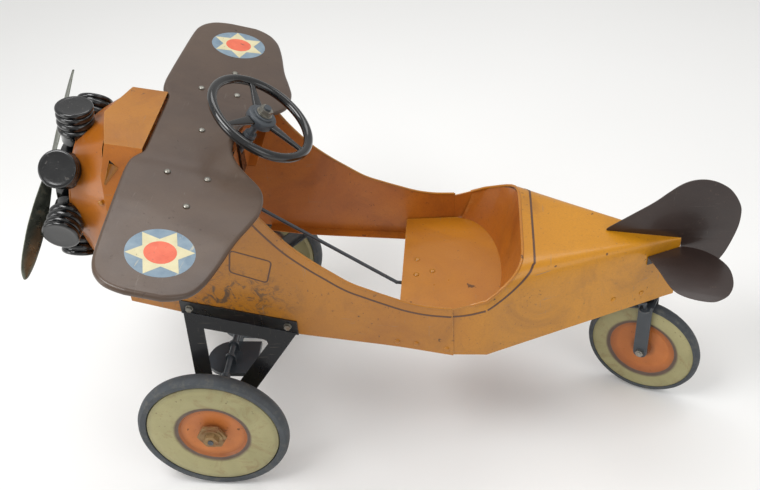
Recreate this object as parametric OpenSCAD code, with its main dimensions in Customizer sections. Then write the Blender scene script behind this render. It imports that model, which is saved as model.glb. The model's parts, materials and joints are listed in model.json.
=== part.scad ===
// Pressed-steel pedal airplane, single wing, two drive wheels and a steered tail wheel.
// Nose toward -X, +Z up, wheels standing on Z = 0.

/* [Wheels] */
// Outer radius of the two front drive wheels
front_r = 127; // [115:1:140]
// Outer radius of the steered tail wheel
tail_r = 100.5; // [90:0.5:106]
// Half of the track between the front wheels' mid planes
half_track = 234.7; // [230:0.1:245]
// Diameter of the cranked front axle
axle_d = 9.5; // [8:0.5:11]

/* [Body] */
// Thickness of the sheet steel
sheet = 1.2; // [0.9:0.1:1.6]
// Half of the body's width at the seam behind the seat
body_hw = 154; // [145:1:160]
// Height of the tail's bottom edge above the ground
tail_z = 227; // [222:1:232]
// Height of the tail deck at the front of the tail
deck_z = 380; // [370:1:390]
// Height of the seat above the ground
seat_z = 276; // [270:1:280]

/* [Wing] */
// Half of the wing's span
wing_hs = 378; // [360:1:390]
// Angle by which the wing's front edge is raised
wing_pitch = 15; // [12:0.5:16]

/* [Engine] */
// Number of dummy cylinders
cyl_n = 7; // [5:1:9]
// Radius of one dummy cylinder
cyl_r = 30; // [26:1:31]
// Distance from the thrust line to a cylinder's flat top
cyl_top = 132; // [126:1:140]
// Nose-up tilt of the thrust line
thrust_tilt = 8; // [4:1:10]
// Length of one propeller blade from the axis
blade_l = 190; // [170:1:200]
// Angle of the propeller from straight up, toward the right wing
prop_turn = 59; // [0:1:90]

/* [Steering] */
// Outer radius of the steering wheel
sw_r = 92; // [85:1:95]
// Lean of the steering column from vertical
column_lean = 36.6; // [33:0.1:40]
// Turn of the tail wheel as it stands
steer_now = 24.7; // [0:0.1:26]

/* [Pedals] */
// Throw of the cranked axle
crank_r = 60; // [50:1:62]
// Lean of the left crank from straight up
crank_lean = 15.5; // [0:0.5:30]

/* [Hidden] */

orange = "darkorange"; dark = "dimgray"; gloss = "black"; cream = "khaki";
mid_x = 289.46;         // from the front axle to the middle of the length
$fn = 48;

// the part's own frame stands under the middle of its length
module fr() { translate([-mid_x, 0, 0]) children(); }
module both() { children(); mirror([0, 1, 0]) children(); }
// along Y from y0 to y1
module ybar(x, z, y0, y1, r, n = 48) { translate([x, y0, z]) rotate([-90, 0, 0]) cylinder(r = r, h = y1 - y0, $fn = n); }
module dome(r, h) { rotate_extrude() polygon([[0, 0], [r, 0], [r * 0.94, h * 0.45], [r * 0.7, h * 0.82], [r * 0.35, h], [0, h]]); }
module hexhead(af, h) { cylinder(d = af / cos(30), h = h, $fn = 6); }

function flat(a) = [for (r = a) each r];
function lerp(a, b, t) = a + (b - a) * t;
// a closed sheet between two grids of points
module sheet_grid(Po, Pi, wrap = false) {
  n = len(Po); m = len(Po[0]); N = n * m; mj = wrap ? m : m - 1;
  pts = concat(flat(Po), flat(Pi));
  faces = concat(
    [for (i = [0:n - 2]) for (j = [0:mj - 1]) let (a = i * m + j, b = i * m + (j + 1) % m, c = (i + 1) * m + (j + 1) % m, d = (i + 1) * m + j) each [[a, b, c], [a, c, d]]],
    [for (i = [0:n - 2]) for (j = [0:mj - 1]) let (a = N + i * m + j, b = N + i * m + (j + 1) % m, c = N + (i + 1) * m + (j + 1) % m, d = N + (i + 1) * m + j) each [[a, c, b], [a, d, c]]],
    [for (j = [0:mj - 1]) let (a = j, b = (j + 1) % m) each [[b, a, N + a], [b, N + a, N + b]]],
    [for (j = [0:mj - 1]) let (d = (n - 1) * m + j, c = (n - 1) * m + (j + 1) % m) each [[d, c, N + c], [d, N + c, N + d]]],
    wrap ? [] : [for (i = [0:n - 2]) let (a = i * m, d = (i + 1) * m) each [[a, d, N + d], [a, N + d, N + a]]],
    wrap ? [] : [for (i = [0:n - 2]) let (b = i * m + m - 1, c = (i + 1) * m + m - 1) each [[c, b, N + b], [c, N + b, N + c]]]);
  polyhedron(points = pts, faces = faces, convexity = 6);
}

// ---------- body ----------
splay = atan((body_hw - 128) / 458);
function side_y(x) = 128 + (x + 60) * tan(splay);
side_pts = [[-128, 318], [-60, 301], [0, 286], [60, 274], [135, 260.5], [230, 249.5], [309, 240.5], [398, 226],
  [398, 328], [390, 328.3], [360, 330.4], [330, 336.9], [300, 348], [270, 360.2], [240, 373.8], [210, 395.2],
  [180, 418.4], [150, 446.3], [120, 484], [100, 515], [86, 542], [-58, 580.5], [-60, 502], [-128, 502]];
flange_pts = [[60, 274], [135, 260.5], [230, 249.5], [309, 240.5], [396, 226.4], [396, 227.9], [309, 242], [230, 251], [135, 262], [60, 275.5]];
module on_side() { translate([-60, -128, 0]) rotate([0, 0, -splay]) rotate([90, 0, 0]) translate([60, 0, 0]) children(); }
module side_left() {
  color(orange) on_side() {
    difference() {
      linear_extrude(height = sheet) polygon(side_pts);
      for (p = [[309, 252], [340, 249], [389, 240], [-31, 309], [130, 278], [50, 292]]) translate([p[0], p[1], -1]) cylinder(d = 5, h = 5, $fn = 24);
    }
    translate([0, 0, -18]) linear_extrude(height = 18) polygon(flange_pts);
  }
}
module side_panel_left() { fr() side_left(); }
module side_panel_right() { fr() mirror([0, 1, 0]) side_left(); }

// nose cowl: from the round crankcase to the square body
function poly_r(a) = let (d = [cos(a), sin(a)],      // a from +Y toward +Z, about (0, 455)
  e = [[[sin(0), 1], 140], [[0, -1], 138], [[1, 0], 122.4], [[-1, 0], 122.4], [[0.925, 0.38], 131.5], [[-0.925, 0.38], 131.5]])
  min([for (k = e) let (s = k[0][0] * d[0] + k[0][1] * d[1]) s > 0.01 ? k[1] / s : 1e6]);
function cowl_pt(a, s, off) = let (
  r0 = 84 - off, f = s, g = pow(s, 0.72),
  cx = [-201 + sin(thrust_tilt) * r0 * sin(a), r0 * cos(a), 485.5 + r0 * sin(a)],
  rb = poly_r(a) - off, bx = [-126, rb * cos(a), 455 + rb * sin(a)])
  [lerp(cx[0], bx[0], f), lerp(cx[1], bx[1], g), lerp(cx[2], bx[2], g)];
// the front edge is scalloped round each can: first s on column a that is clear of all of them
function to_eng(p) = let (d = [p[0] + 208, p[1], p[2] - 485], c = cos(thrust_tilt), n = sin(thrust_tilt)) [d[0] * c - d[2] * n, d[1], d[0] * n + d[2] * c];
function by_can(q) = len([for (k = [0:cyl_n - 1]) let (f = k * 360 / cyl_n, up = -q[1] * sin(f) + q[2] * cos(f), ac = q[1] * cos(f) + q[2] * sin(f)) if (up > 40 && norm([q[0], ac]) < cyl_r + 1.8) 1]) > 0;
function scallop(a) = max([for (s = [0:0.02:0.8]) by_can(to_eng(cowl_pt(a, s, 0))) ? s + 0.02 : 0]);
module nose_cowl() {
  fr() color(orange) {
    S = [for (k = [0:119]) max(scallop(k * 3), scallop(k * 3 + 1.5), scallop(k * 3 - 1.5))];
    P = [for (t = [0, 0.25, 0.5, 0.75, 1]) [for (k = [0:119]) cowl_pt(k * 3, lerp(S[k], 1, t), 0)]];
    Q = [for (t = [0, 0.25, 0.5, 0.75, 1]) [for (k = [0:119]) cowl_pt(k * 3, lerp(S[k], 1, t), sheet)]];
    sheet_grid(Q, P, true);
  }
}

// engine hood: flat top with a pointed front, two leaning sides
function hood_top(x) = 587.5 - 0.19 * (x + 61);
hood_fx = [-127, -131, -120.5, -132, -143, -132, -120.5, -131, -127];
hood_rx = [-64.8, -74, -74, -64.8, -64.8, -64.8, -74, -74, -64.8];
function hood_pt(j, s, o) = let (x = lerp(hood_fx[j], hood_rx[j], s), zt = hood_top(x) - o,
  yy = [-126 + o, -105 + o, -84 + o, -42, 0, 42, 84 - o, 105 - o, 126 - o], zz = [503, lerp(zt, 503, 0.5), zt, zt, zt, zt, zt, lerp(zt, 503, 0.5), 503])
  [x, yy[j], zz[j]];
module engine_hood() {
  fr() color(orange)
    sheet_grid([for (s = [0, 0.5, 1]) [for (j = [0:8]) hood_pt(j, s, sheet)]], [for (s = [0, 0.5, 1]) [for (j = [0:8]) hood_pt(j, s, 0)]]);
}
// three-cornered flap bent out of each side of the hood, folded along the line from va to vb
va = [-102.4, -98.6, 563.3];
vb = [-125.1, -109.8, 540.4];
vc = [-115.1, -94, 575.3];
vn = [0.0455, -0.909, 0.4155];
vent_open = 38;
module vent() {
  h = (va - vb) / norm(va - vb);
  foot = vb + h * ((vc - vb) * h);
  w = vc - foot;
  u = w / norm(w);
  tip = foot + w * cos(vent_open) + vn * norm(w) * sin(vent_open);
  t = (vn * cos(vent_open) - u * sin(vent_open)) * sheet;
  o = vn * 0.6;
  polyhedron([va + o, vb + o, tip + o, va + o + t, vb + o + t, tip + o + t], [[0, 1, 2], [3, 5, 4], [0, 3, 4, 1], [1, 4, 5, 2], [2, 5, 3, 0]]);
}
module hood_vents() { fr() color(orange) both() vent(); }

// ---------- engine ----------
module eng() { translate([-208, 0, 485]) rotate([0, thrust_tilt, 0]) children(); }
module xturn() { rotate([0, -90, 0]) rotate_extrude() children(); } // profile (r, forward)
module crankcase() {
  fr() eng() color(gloss) difference() {
    union() {
      xturn() polygon([[0, 30], [44, 30], [56, 26], [60, 16], [58, -4], [55, -4], [57, 15], [54, 23], [43, 27], [13, 27], [13, -4], [0, -4]]);
      rotate([0, -90, 0]) translate([0, 0, -6]) linear_extrude(height = 3) difference() {
        union() {
          circle(r = 79, $fn = 96);
          for (k = [0:cyl_n - 1]) rotate(-k * 360 / cyl_n) translate([84, 0]) circle(r = 24);
        }
        circle(r = 52, $fn = 96);
      }
    }
    translate([-40, 0, 0]) rotate([0, 90, 0]) cylinder(d = 16.1, h = 60);
  }
}
can_pts = [[0, 61], [25, 61], [25, 86], [cyl_r, 88], [cyl_r, 94], [cyl_r - 4, 96], [cyl_r - 4, 99], [cyl_r, 101], [cyl_r, 107],
  [cyl_r - 4, 109], [cyl_r - 4, 112], [cyl_r, 114], [cyl_r, 120], [cyl_r - 3, 122], [cyl_r - 3, 124], [cyl_r, 126], [cyl_r, cyl_top - 2], [cyl_r - 2, cyl_top], [0, cyl_top]];
module can(k) { fr() eng() color(gloss) rotate([k * 360 / cyl_n, 0, 0]) difference() {
    rotate_extrude() polygon(can_pts);
    translate([0, 0, 50]) cylinder(r = 22, h = cyl_top - 53);
    rotate([0, -90, 0]) translate([0, 0, -6.3]) cylinder(r = 110, h = 3.6, $fn = 96);
  } }
module cylinder_1() { can(0); }
module cylinder_2() { can(1); }
module cylinder_3() { can(2); }
module cylinder_4() { can(3); }
module cylinder_5() { can(4); }
module cylinder_6() { can(5); }
module cylinder_7() { can(6); }
module propeller_bearing() {
  fr() eng() color("goldenrod") difference() {
    union() {
      translate([-36, 0, 0]) rotate([0, 90, 0]) cylinder(d = 16, h = 42);
      translate([-36, 0, 0]) rotate([0, 90, 0]) cylinder(d = 24, h = 5.8);
    }
    translate([-50, 0, 0]) rotate([0, 90, 0]) cylinder(d = 8.1, h = 80);
  }
}
// propeller, spindle and nut
hub_x = -54.5;
module blade() { // along +Z from the hub
  rotate([0, 0, 32]) translate([-1.2, 0, 0]) rotate([90, 0, 90]) linear_extrude(height = 2.4)
    polygon([[-9, 12], [-13, 34], [-17, 70], [-18, 110], [-15, 150], [-9, 178], [-4, blade_l - 2], [0, blade_l], [5, blade_l - 4], [11, 176], [16, 150], [18, 110], [16, 70], [12, 34], [9, 12]]);
}
module propeller() {
  fr() eng() color("slategray") translate([hub_x, 0, 0]) rotate([-prop_turn, 0, 0]) difference() {
    union() {
      translate([-3, 0, 0]) rotate([0, 90, 0]) cylinder(d = 44, h = 6);
      blade();
      rotate([180, 0, 0]) blade();
    }
    translate([-20, 0, 0]) rotate([0, 90, 0]) cylinder(d = 8, h = 40);
  }
}
module propeller_spindle() {
  fr() eng() color("gray") {
    translate([hub_x - 15, 0, 0]) rotate([0, 90, 0]) cylinder(d = 8, h = 82);
    translate([6.8, 0, 0]) rotate([0, 90, 0]) cylinder(d = 15, h = 4);
    translate([hub_x + 3, 0, 0]) rotate([0, 90, 0]) cylinder(d = 15, h = 10);
  }
}
module propeller_nut() {
  fr() eng() color("silver") translate([hub_x - 3, 0, 0]) rotate([0, -90, 0]) difference() {
    union() { cylinder(d = 20, h = 1.6); translate([0, 0, 1.6]) hexhead(15, 7); }
    translate([0, 0, -1]) cylinder(d = 8, h = 20);
  }
}

// ---------- wing ----------
wk = 0.0000662; // arch across the span
wing_le = [[0, -75], [80, -76], [92, -84], [108, -90], [130, -92], [165, -91], [230, -88], [300, -84.5], [328, -82], [348, -76], [362, -66], [371, -54], [376, -38], [wing_hs, -26]];
wing_te = [[0, 49], [26, 50], [52, 58], [68, 68], [84, 82], [98, 97], [112, 109], [126, 115.5], [146, 118.5], [168, 117.5], [196, 110], [238, 96], [304, 80.5], [340, 69], [358, 58], [368, 46], [374, 34], [wing_hs, 22]];
wy = [0, 26, 52, 68, 80, 88, 98, 112, 126, 146, 168, 196, 238, 280, 310, 330, 345, 357, 366, 372, 376, wing_hs];
wys = concat([for (i = [len(wy) - 1:-1:1]) -wy[i]], wy);
function wing_row(y, drop, o) = let (a = lookup(abs(y), wing_le), b = lookup(abs(y), wing_te), z = -wk * y * y - drop, e = o == 0 ? 0 : sheet,
    ys = y > 0 ? y - (abs(y) == wing_hs ? e : 0) : y + (abs(y) == wing_hs ? e : 0))
  [[a + e, ys, z - 8], [a + e, ys, z - 3 - e * 0.5], [a + 2.5 + e * 0.5, ys, z - e],
   for (t = [0.2, 0.4, 0.6, 0.8]) [lerp(a + 4, b - 4, t), ys, z - e],
   [b - 2.5 - e * 0.5, ys, z - e], [b - e, ys, z - 3 - e * 0.5], [b - e, ys, z - 8]];
function wing_grid(o) = [for (y = wys) wing_row(y, 0, o)];
module wing() {
  fr() translate([10.6, 0, 565.4]) rotate([0, wing_pitch, 0]) color(dark) {
    sheet_grid(wing_grid(0), wing_grid(1));
    both() translate([-24, wing_hs - sheet, -wk * wing_hs * wing_hs - 8]) cube([44, sheet, 7.4]);
  }
}
module on_wing(a, y, dz = 0) { translate([10.6, 0, 565.4]) rotate([0, wing_pitch, 0]) translate([a, y, -wk * y * y + dz]) children(); }
module wing_bolts() {
  fr() color("silver") for (p = [[-30, -122], [30, -122], [-30, 122], [30, 122], [-4, 0], [14, -192], [14, 192]]) on_wing(p[0], p[1], 0.25) dome(5, 2.6);
}
// bent panel under the wing's rear edge that ties the sides together
module dash_panel() {
  fr() color(orange) difference() {
    translate([60, -134.7, 476]) union() {
      cube([sheet, 269.4, 66]);
      cube([16, 269.4, sheet]);
    }
    translate([40, -30, 470]) cube([60, 60, 16]);
    col() translate([0, 0, -120]) cylinder(d = 16, h = 100);
  }
}
// ---------- steering ----------
swc = [104.7, 0, 587.5];
module col() { translate(swc) rotate([0, column_lean, 0]) children(); } // local Z along the column, up
phi_now = steer_now / 0.745;
module column_bracket() {
  fr() color(gloss) {
    col() difference() {
      union() {
        translate([0, 0, -56]) cylinder(d = 22, h = 16);
        translate([-26, -11, -54]) cube([20, 22, 4]);
      }
      translate([0, 0, -70]) cylinder(d = 12.1, h = 40);
    }
    difference() {
      translate([61.2, -13, 490]) cube([4, 26, 62.5]);
      col() translate([0, 0, -120]) cylinder(d = 16, h = 64.01);
      col() translate([0, 0, -60]) cylinder(d = 12.1, h = 40);
    }
  }
}
module column_crossbar() {
  fr() color(gloss) difference() {
    union() {
      col() translate([0, 0, -184]) cylinder(d = 22, h = 12);
      translate([-14, -129, 442.5]) cube([28, 258, 3]);
      for (s = [-1, 1]) translate([-14, s > 0 ? 127.2 : -130.2, 442.5]) cube([28, 3, 24]);
    }
    col() translate([0, 0, -200]) cylinder(d = 12.1, h = 50);
  }
}
module steering_wheel() {
  fr() col() color(gloss) difference() {
    union() {
      rotate_extrude() translate([sw_r - 7.5, 0]) circle(r = 7.5, $fn = 32);
      for (a = [113, -17, -127]) rotate(a) {
        translate([12, -5.5, -4.5]) cube([sw_r - 22, 11, 8]);
        translate([22, 0, -4.5]) cylinder(r = 11, h = 9);
      }
      translate([0, 0, -9]) cylinder(r = 24, h = 15);
      translate([0, 0, 5]) cylinder(r = 17, h = 5);
    }
    translate([0, 0, -20]) cylinder(d = 12, h = 50);
  }
}
module steering_nut() {
  fr() col() color("silver") translate([0, 0, 10]) difference() {
    union() { cylinder(d = 26, h = 1.6); translate([0, 0, 1.6]) hexhead(19, 8); }
    translate([0, 0, -1]) cylinder(d = 12, h = 20);
  }
}
module steering_column() {
  fr() col() color(dark) {
    translate([0, 0, -190]) cylinder(d = 12, h = 213);
    translate([0, 0, -39.7]) cylinder(d = 20, h = 6);
  }
}
arm_c = 20; arm_z = -153.9;
module column_arm() {
  fr() col() rotate(-phi_now) color(dark) difference() {
    union() {
      translate([0, 0, arm_z - 9]) cylinder(d = 22, h = 14);
      translate([-6, -arm_c, arm_z - 3]) cube([12, arm_c - 8, 5]);
      translate([0, -arm_c, arm_z - 3]) cylinder(d = 14, h = 5);
      translate([0, -arm_c, arm_z - 3]) cylinder(d = 6, h = 17);
    }
    translate([0, 0, arm_z - 20]) cylinder(d = 12, h = 50);
  }
}
// one bent rod from the column's arm to the tail fork
u = [cos(column_lean), 0, -sin(column_lean)];
nn = [sin(column_lean), 0, cos(column_lean)];
arm_tip = swc + nn * (arm_z + 7) + arm_c * (-cos(phi_now) * [0, 1, 0] - sin(phi_now) * u);
fork_x = 734; lug = 27.1; lug_z = 209.5;
pin_x = fork_x - lug * sin(steer_now);
pin_y = -lug * cos(steer_now);
bend = [300, arm_tip[1], 264];
module rod_leg(p, q, d = 6) {
  v = q - p; L = norm(v);
  translate(p) rotate([0, acos(v[2] / L), atan2(v[1], v[0])]) cylinder(d = d, h = L, $fn = 32);
}
module eye(d) { // slotted sideways, so that the arm's swing is free
  for (y = [1.2, -3.6]) translate([0, y]) circle(d = d);
  translate([-d / 2, -3.6]) square([d, 4.8]);
}
module steering_rod() {
  fr() color(dark) {
    difference() {
      union() {
        translate(arm_tip) rotate([0, column_lean, 0]) linear_extrude(height = 6) eye(14);
        rod_leg(arm_tip + nn * 3 + u * 5.5, bend);
      }
      translate(arm_tip - nn * 4) rotate([0, column_lean, 0]) linear_extrude(height = 16) eye(7.6);
    }
    translate(bend) sphere(d = 6.6, $fn = 32);
    rod_leg(bend, [pin_x, pin_y, 222]);
    translate([pin_x, pin_y, 222]) sphere(d = 6.6, $fn = 32);
    translate([pin_x, pin_y, 203]) cylinder(d = 6, h = 19, $fn = 32);
  }
}

// ---------- seat ----------
module seat_pan() {
  fr() color(orange) difference() {
    union() {
      translate([0, 0, seat_z - sheet]) linear_extrude(height = sheet) polygon(concat([[311, -146.5], [311, 146.5], [405, 150]], [for (a = [80:-10:-80]) [405 + 77 * cos(a), 150 * sin(a)]], [[405, -150]]));
      translate([309.8, -146.5, seat_z - 30]) cube([sheet, 293, 30]);
      both() translate([309.8, -146.6, seat_z - 30]) rotate([0, 0, -3.2]) cube([94, sheet, 30]);
    }
    translate([300, -30, seat_z - 33]) cube([24, 25, 31]);
    both() for (p = [[340, 249]]) translate([p[0], -160, p[1]]) rotate([-90, 0, 0]) cylinder(d = 5, h = 30, $fn = 24);
  }
}
back_zs = [328, 332, 341, 352, 364, 373, 378];
function back_top(a) = let (c = abs(cos(a)), z = lerp(330, 378, pow(1 - pow(c, 6), 0.5)), x = lookup(z, [[328, 398], [332, 420], [341, 450], [358, 478], [370, 495], [378, 505]]))
  [x - 2, -148.5 * cos(a) * (x > 453 ? (775 - x) / 322 : 1), z - 3];
function back_bot(a) = [405 + 75 * sin(a) - 1, -147 * cos(a), seat_z + 0.5];
module seat_back() {
  fr() color("sienna") {
    P = [for (s = [0, 0.35, 0.7, 1]) [for (a = [12:6.5:168]) let (t = back_top(a), b = back_bot(a)) [lerp(b[0], t[0], pow(s, 0.8)), lerp(b[1], t[1], s), lerp(b[2], t[2], s)]]];
    Q = [for (s = [0, 0.35, 0.7, 1]) [for (a = [12:6.5:168]) let (t = back_top(a), b = back_bot(a)) [lerp(b[0], t[0], pow(s, 0.8)) + sheet, lerp(b[1], t[1], s), lerp(b[2], t[2], s) - 0.3]]];
    sheet_grid(P, Q);
  }
}
module seat_bolts() {
  fr() color("sienna") {
    for (p = [[334, -10.6], [361.4, -1.4], [334, 30]]) translate([p[0], p[1], seat_z + 0.05]) dome(5, 2.5);
  }
}
module seat_crossbar() {
  fr() color(gloss) {
    translate([316, -145.4, 245.9]) cube([24, 290.8, 2.4]);
    both() translate([316, -145.4, 245.9]) cube([24, 2.4, 16]);
  }
}

// ---------- tail ----------
function t_w(x) = x < 453 ? body_hw : max(3, body_hw * (776 - x) / 323);
function t_z(x) = x < 509 ? deck_z : lerp(deck_z, 346, (x - 509) / 262);
rim = [[328, 398], [332, 420], [341, 450], [350, 467], [358, 480], [367, 493], [374, 502], [deck_z, 509]];
function t_sec(a, x, o) = let (w = t_w(x) - o, h = t_z(x) - o - tail_z, c = cos(a), s = sin(a), p = 0.25)
  [x, -w * sign(c) * pow(abs(c), p), tail_z + h * pow(abs(s), p)];
// section angle stations: more of them near the rounded shoulders
t_as = [0, 0.02, 0.4, 3, 8, 14, 22, 32, 44, 56, 66, 78, 90];
t_aa = concat(t_as, [for (i = [len(t_as) - 2:-1:0]) 180 - t_as[i]]);
function t_front(a) = let (z = tail_z + (deck_z - tail_z) * pow(sin(a), 0.25)) z < 328.1 ? 398 : lookup(z, rim);
function t_x(a, i) = let (f = t_front(a)) i == 0 ? f : i == 1 ? max(453, f + 18) : lerp(max(453, f + 18), 771, (i - 1) / 5);
module tail_shell() {
  fr() color(orange) {
    sheet_grid([for (i = [0:6]) [for (a = t_aa) t_sec(a, t_x(a, i), sheet)]], [for (i = [0:6]) [for (a = t_aa) t_sec(a, t_x(a, i), 0)]]);
  }
}
module body_bolts() {
  fr() color("sienna") {
    both() on_side() for (p = [[309, 252], [340, 249], [389, 240]]) translate([p[0], p[1], sheet]) dome(4.5, 2.4);
    both() for (p = [[664, 257], [713, 251]]) translate([p[0] + 0.15, -t_w(p[0]) - 0.35, p[1]]) rotate([90, 0, 25.5]) dome(4.5, 2.2);
    both() translate([-137, -117.2, 512]) rotate([90, 0, -20]) dome(4.5, 2.4);
  }
}
module fin() {
  fr() color(dark) translate([0, 0.9, 0]) rotate([90, 0, 0]) linear_extrude(height = 1.8)
    polygon([[650, 362], [652, 367.5], [684, 391], [720, 417], [742, 437], [760, 452], [776, 459.5], [792, 461.5], [806, 459.5], [820, 454], [835, 444], [846, 431], [855, 415], [859.5, 399.5], [859.5, 373], [854, 345], [846, 318], [838, 300], [772, 300], [772, 346.3], [771, 346.4]]);
}
module stab() {
  fr() color(dark) translate([0, 0, 312]) linear_extrude(height = 17.5) polygon([[716, -28.8], [770, -4.2], [770, -5.5], [716, -30.1]]);
  fr() color(dark) translate([0, 0, 328.5]) linear_extrude(height = 1.8)
    polygon([[716, -28.8], [770, -4.2], [778, -3.5], [794, -8], [811, -17], [828, -34], [839, -56], [841, -80], [837, -104], [827, -124], [814, -135], [799, -140.5], [776, -136], [756, -126], [744, -113], [736, -92], [729, -66]]);
}
module stabilizer_left() { stab(); }
module stabilizer_right() { mirror([0, 1, 0]) stab(); }

// ---------- landing gear ----------
gear_lean = 25.4; gear_yaw = 2.32;
module on_gear() { translate([0, -212, 127]) rotate([0, 0, gear_yaw]) rotate([-gear_lean, 0, 0]) rotate([90, 0, 0]) children(); }
gear_holes = [[-31, 309], [130, 278]];
module gear_left() {
  color(gloss) difference() {
    union() {
      on_gear() {
        linear_extrude(height = 2.4) difference() {
          polygon([[-39.7, 191.5], [145.7, 149.4], [19, -14], [10, -18], [-10, -18], [-19, -14]]);
          polygon([[-8, 162], [90, 140.5], [95, 138], [97, 133], [14, 30], [9, 28], [4, 36]]);
        }
        // folded edges of the two legs
        translate([0, 0, -6.5]) linear_extrude(height = 7.5) {
          polygon([[-38.9, 187.5], [-19.2, -8], [-17, -7.7], [-36.7, 187.8]]);
          polygon([[142.3, 145.7], [22.3, -9], [20.6, -7.6], [140.6, 147]]);
        }
      }
      // upright edge bolted to the side panel
      on_side() translate([0, 0, sheet]) linear_extrude(height = 2.4) polygon([[-46, 324.5], [146, 287.4], [146, 258.4], [-46, 297.6]]);
    }
    ybar(0, 127, -240, -190, 10);
    on_side() for (p = gear_holes) translate([p[0], p[1], -3]) cylinder(d = 6, h = 12, $fn = 24);
  }
}
module gear_frame_left() { fr() gear_left(); }
module gear_frame_right() { fr() mirror([0, 1, 0]) gear_left(); }
module bush_left() {
  color("gray") difference() {
    union() { ybar(0, 127, -221, -200.4, 9.95); ybar(0, 127, -203, -200.4, 15); }
    ybar(0, 127, -240, -190, axle_d / 2 + 0.05);
  }
}
module axle_bush_left() { fr() bush_left(); }
module axle_bush_right() { fr() mirror([0, 1, 0]) bush_left(); }
module gear_bolts() {
  fr() color("silver") both() on_side() for (p = gear_holes) translate([p[0], p[1], sheet + 2.4]) { cylinder(d = 13, h = 1.2); translate([0, 0, 1.2]) hexhead(9.5, 4.5); }
}

// ---------- crank axle, drive wheels, pedals ----------
ca = [sin(crank_lean) * crank_r, cos(crank_lean) * crank_r];
w_in = -48; w_out = -165; web = 8;
module web_plate(y, s) { // flat web from the journal to the pin
  translate([0, y, 127]) rotate([0, s > 0 ? crank_lean : 180 + crank_lean, 0]) {
    translate([-6, 0, 0]) cube([12, web, crank_r]);
    for (z = [0, crank_r]) translate([0, 0, z]) rotate([-90, 0, 0]) cylinder(r = 8, h = web);
  }
}
module crank_axle() {
  fr() color(dark) {
    ybar(0, 127, -264, w_out, axle_d / 2);
    ybar(0, 127, -w_out, 264, axle_d / 2);
    ybar(0, 127, w_in - 0, -w_in + 0, axle_d / 2);
    ybar(ca[0], 127 + ca[1], w_out - 7, w_in + 7, axle_d / 2);
    ybar(-ca[0], 127 - ca[1], -w_in - 7, -w_out + 7, axle_d / 2);
    web_plate(w_out - web, 1); web_plate(w_in, 1);
    web_plate(-w_in - web, -1); web_plate(-w_out, -1);
    for (s = [-1, 1]) ybar(0, 127, s > 0 ? 196 : -199.9, s > 0 ? 199.9 : -196, 9);
  }
}
// pressed disc wheel, axis along Y, dished face toward -Y; profile (r, outward)
wheel_pts = [[0, 12], [16, 12], [16, 5], [24, 4], [34, 4], [54, 6], [58, 10], [63, 10], [66, 12], [84, 13.4], [100, 12.6], [110, 10.5], [112, 6],
  [112, -6], [110, -10.5], [104, -12.2], [104, -10], [108.6, -8.2], [109.5, -5], [109.5, 5], [107.5, 8.4], [100, 10.2], [84, 10.9], [66, 9.4], [63, 7.4],
  [58, 7.4], [54, 3.5], [34, 1.5], [16, 1.5], [16, -12], [0, -12]];
module wheel_f(hole) {
  color(cream) difference() {
    rotate([90, 0, 0]) rotate_extrude($fn = 72) polygon(wheel_pts);
    ybar(0, 0, -30, 30, hole);
  }
}
module tyre(r0, r1, hw) { color("darkslategray") rotate([90, 0, 0]) rotate_extrude($fn = 72) polygon([[r0, -hw + 1.5], [r0 + 1, -hw + 0.5], [r0 + 5, -hw], [r1 - 6, -hw], [r1 - 2, -hw * 0.72], [r1, -hw * 0.3], [r1, hw * 0.3], [r1 - 2, hw * 0.72], [r1 - 6, hw], [r0 + 5, hw], [r0 + 1, hw - 0.5], [r0, hw - 1.5]]); }
module front_wheel_left() { fr() translate([0, -half_track, front_r]) wheel_f(axle_d / 2); }
module front_wheel_right() { fr() mirror([0, 1, 0]) translate([0, -half_track, front_r]) wheel_f(axle_d / 2 + 0.05); }
module front_tyre_left() { fr() translate([0, -half_track, front_r]) tyre(112, front_r, 12.4); }
module front_tyre_right() { fr() translate([0, half_track, front_r]) tyre(112, front_r, 12.4); }
module washer(s) { color("sienna") difference() { translate([0, -half_track - 12, front_r]) rotate([90, 0, 0]) { hexhead(44, 5); translate([0, 0, 5]) cylinder(r = 18, h = 2); } ybar(0, front_r, -270, -200, s); } }
module nut() { color("sienna") difference() { translate([0, -half_track - 19, front_r]) rotate([90, 0, 0]) hexhead(22, 8); ybar(0, front_r, -270, -200, axle_d / 2); } }
module hub_washer_left() { fr() washer(axle_d / 2); }
module hub_washer_right() { fr() mirror([0, 1, 0]) washer(axle_d / 2 + 0.05); }
module axle_nut_left() { fr() nut(); }
module axle_nut_right() { fr() mirror([0, 1, 0]) translate([0, -0.4, 0]) nut(); }
// pad hanging level under its crank pin; local origin on the pin
module pedal() {
  color(dark) difference() {
    union() {
      translate([0, 0, -17]) linear_extrude(height = 2.4) polygon(concat([[44, -39], [44, 39]], [for (a = [90:15:270]) [-6 + 38 * cos(a), 39 * sin(a)]]));
      difference() {
        translate([0, 0, -22]) linear_extrude(height = 6) polygon(concat([[44, -39], [44, 39]], [for (a = [90:15:270]) [-6 + 38 * cos(a), 39 * sin(a)]]));
        translate([0, 0, -23]) linear_extrude(height = 8) polygon(concat([[41.6, -36.6], [41.6, 36.6]], [for (a = [90:15:270]) [-6 + 35.6 * cos(a), 36.6 * sin(a)]]));
      }
      for (s = [-1, 1]) translate([0, s * 16 - 2, 0]) {
        translate([-9, 0, -15]) cube([18, 4, 15]);
        rotate([-90, 0, 0]) cylinder(r = 9, h = 4);
      }
    }
    ybar(0, 0, -60, 60, axle_d / 2 + 0.05);
  }
}
pin_mid = (w_in + w_out) / 2;
module pedal_left() { fr() translate([ca[0], pin_mid, 127 + ca[1]]) pedal(); }
module pedal_right() { fr() translate([-ca[0], -pin_mid, 127 - ca[1]]) pedal(); }

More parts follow.
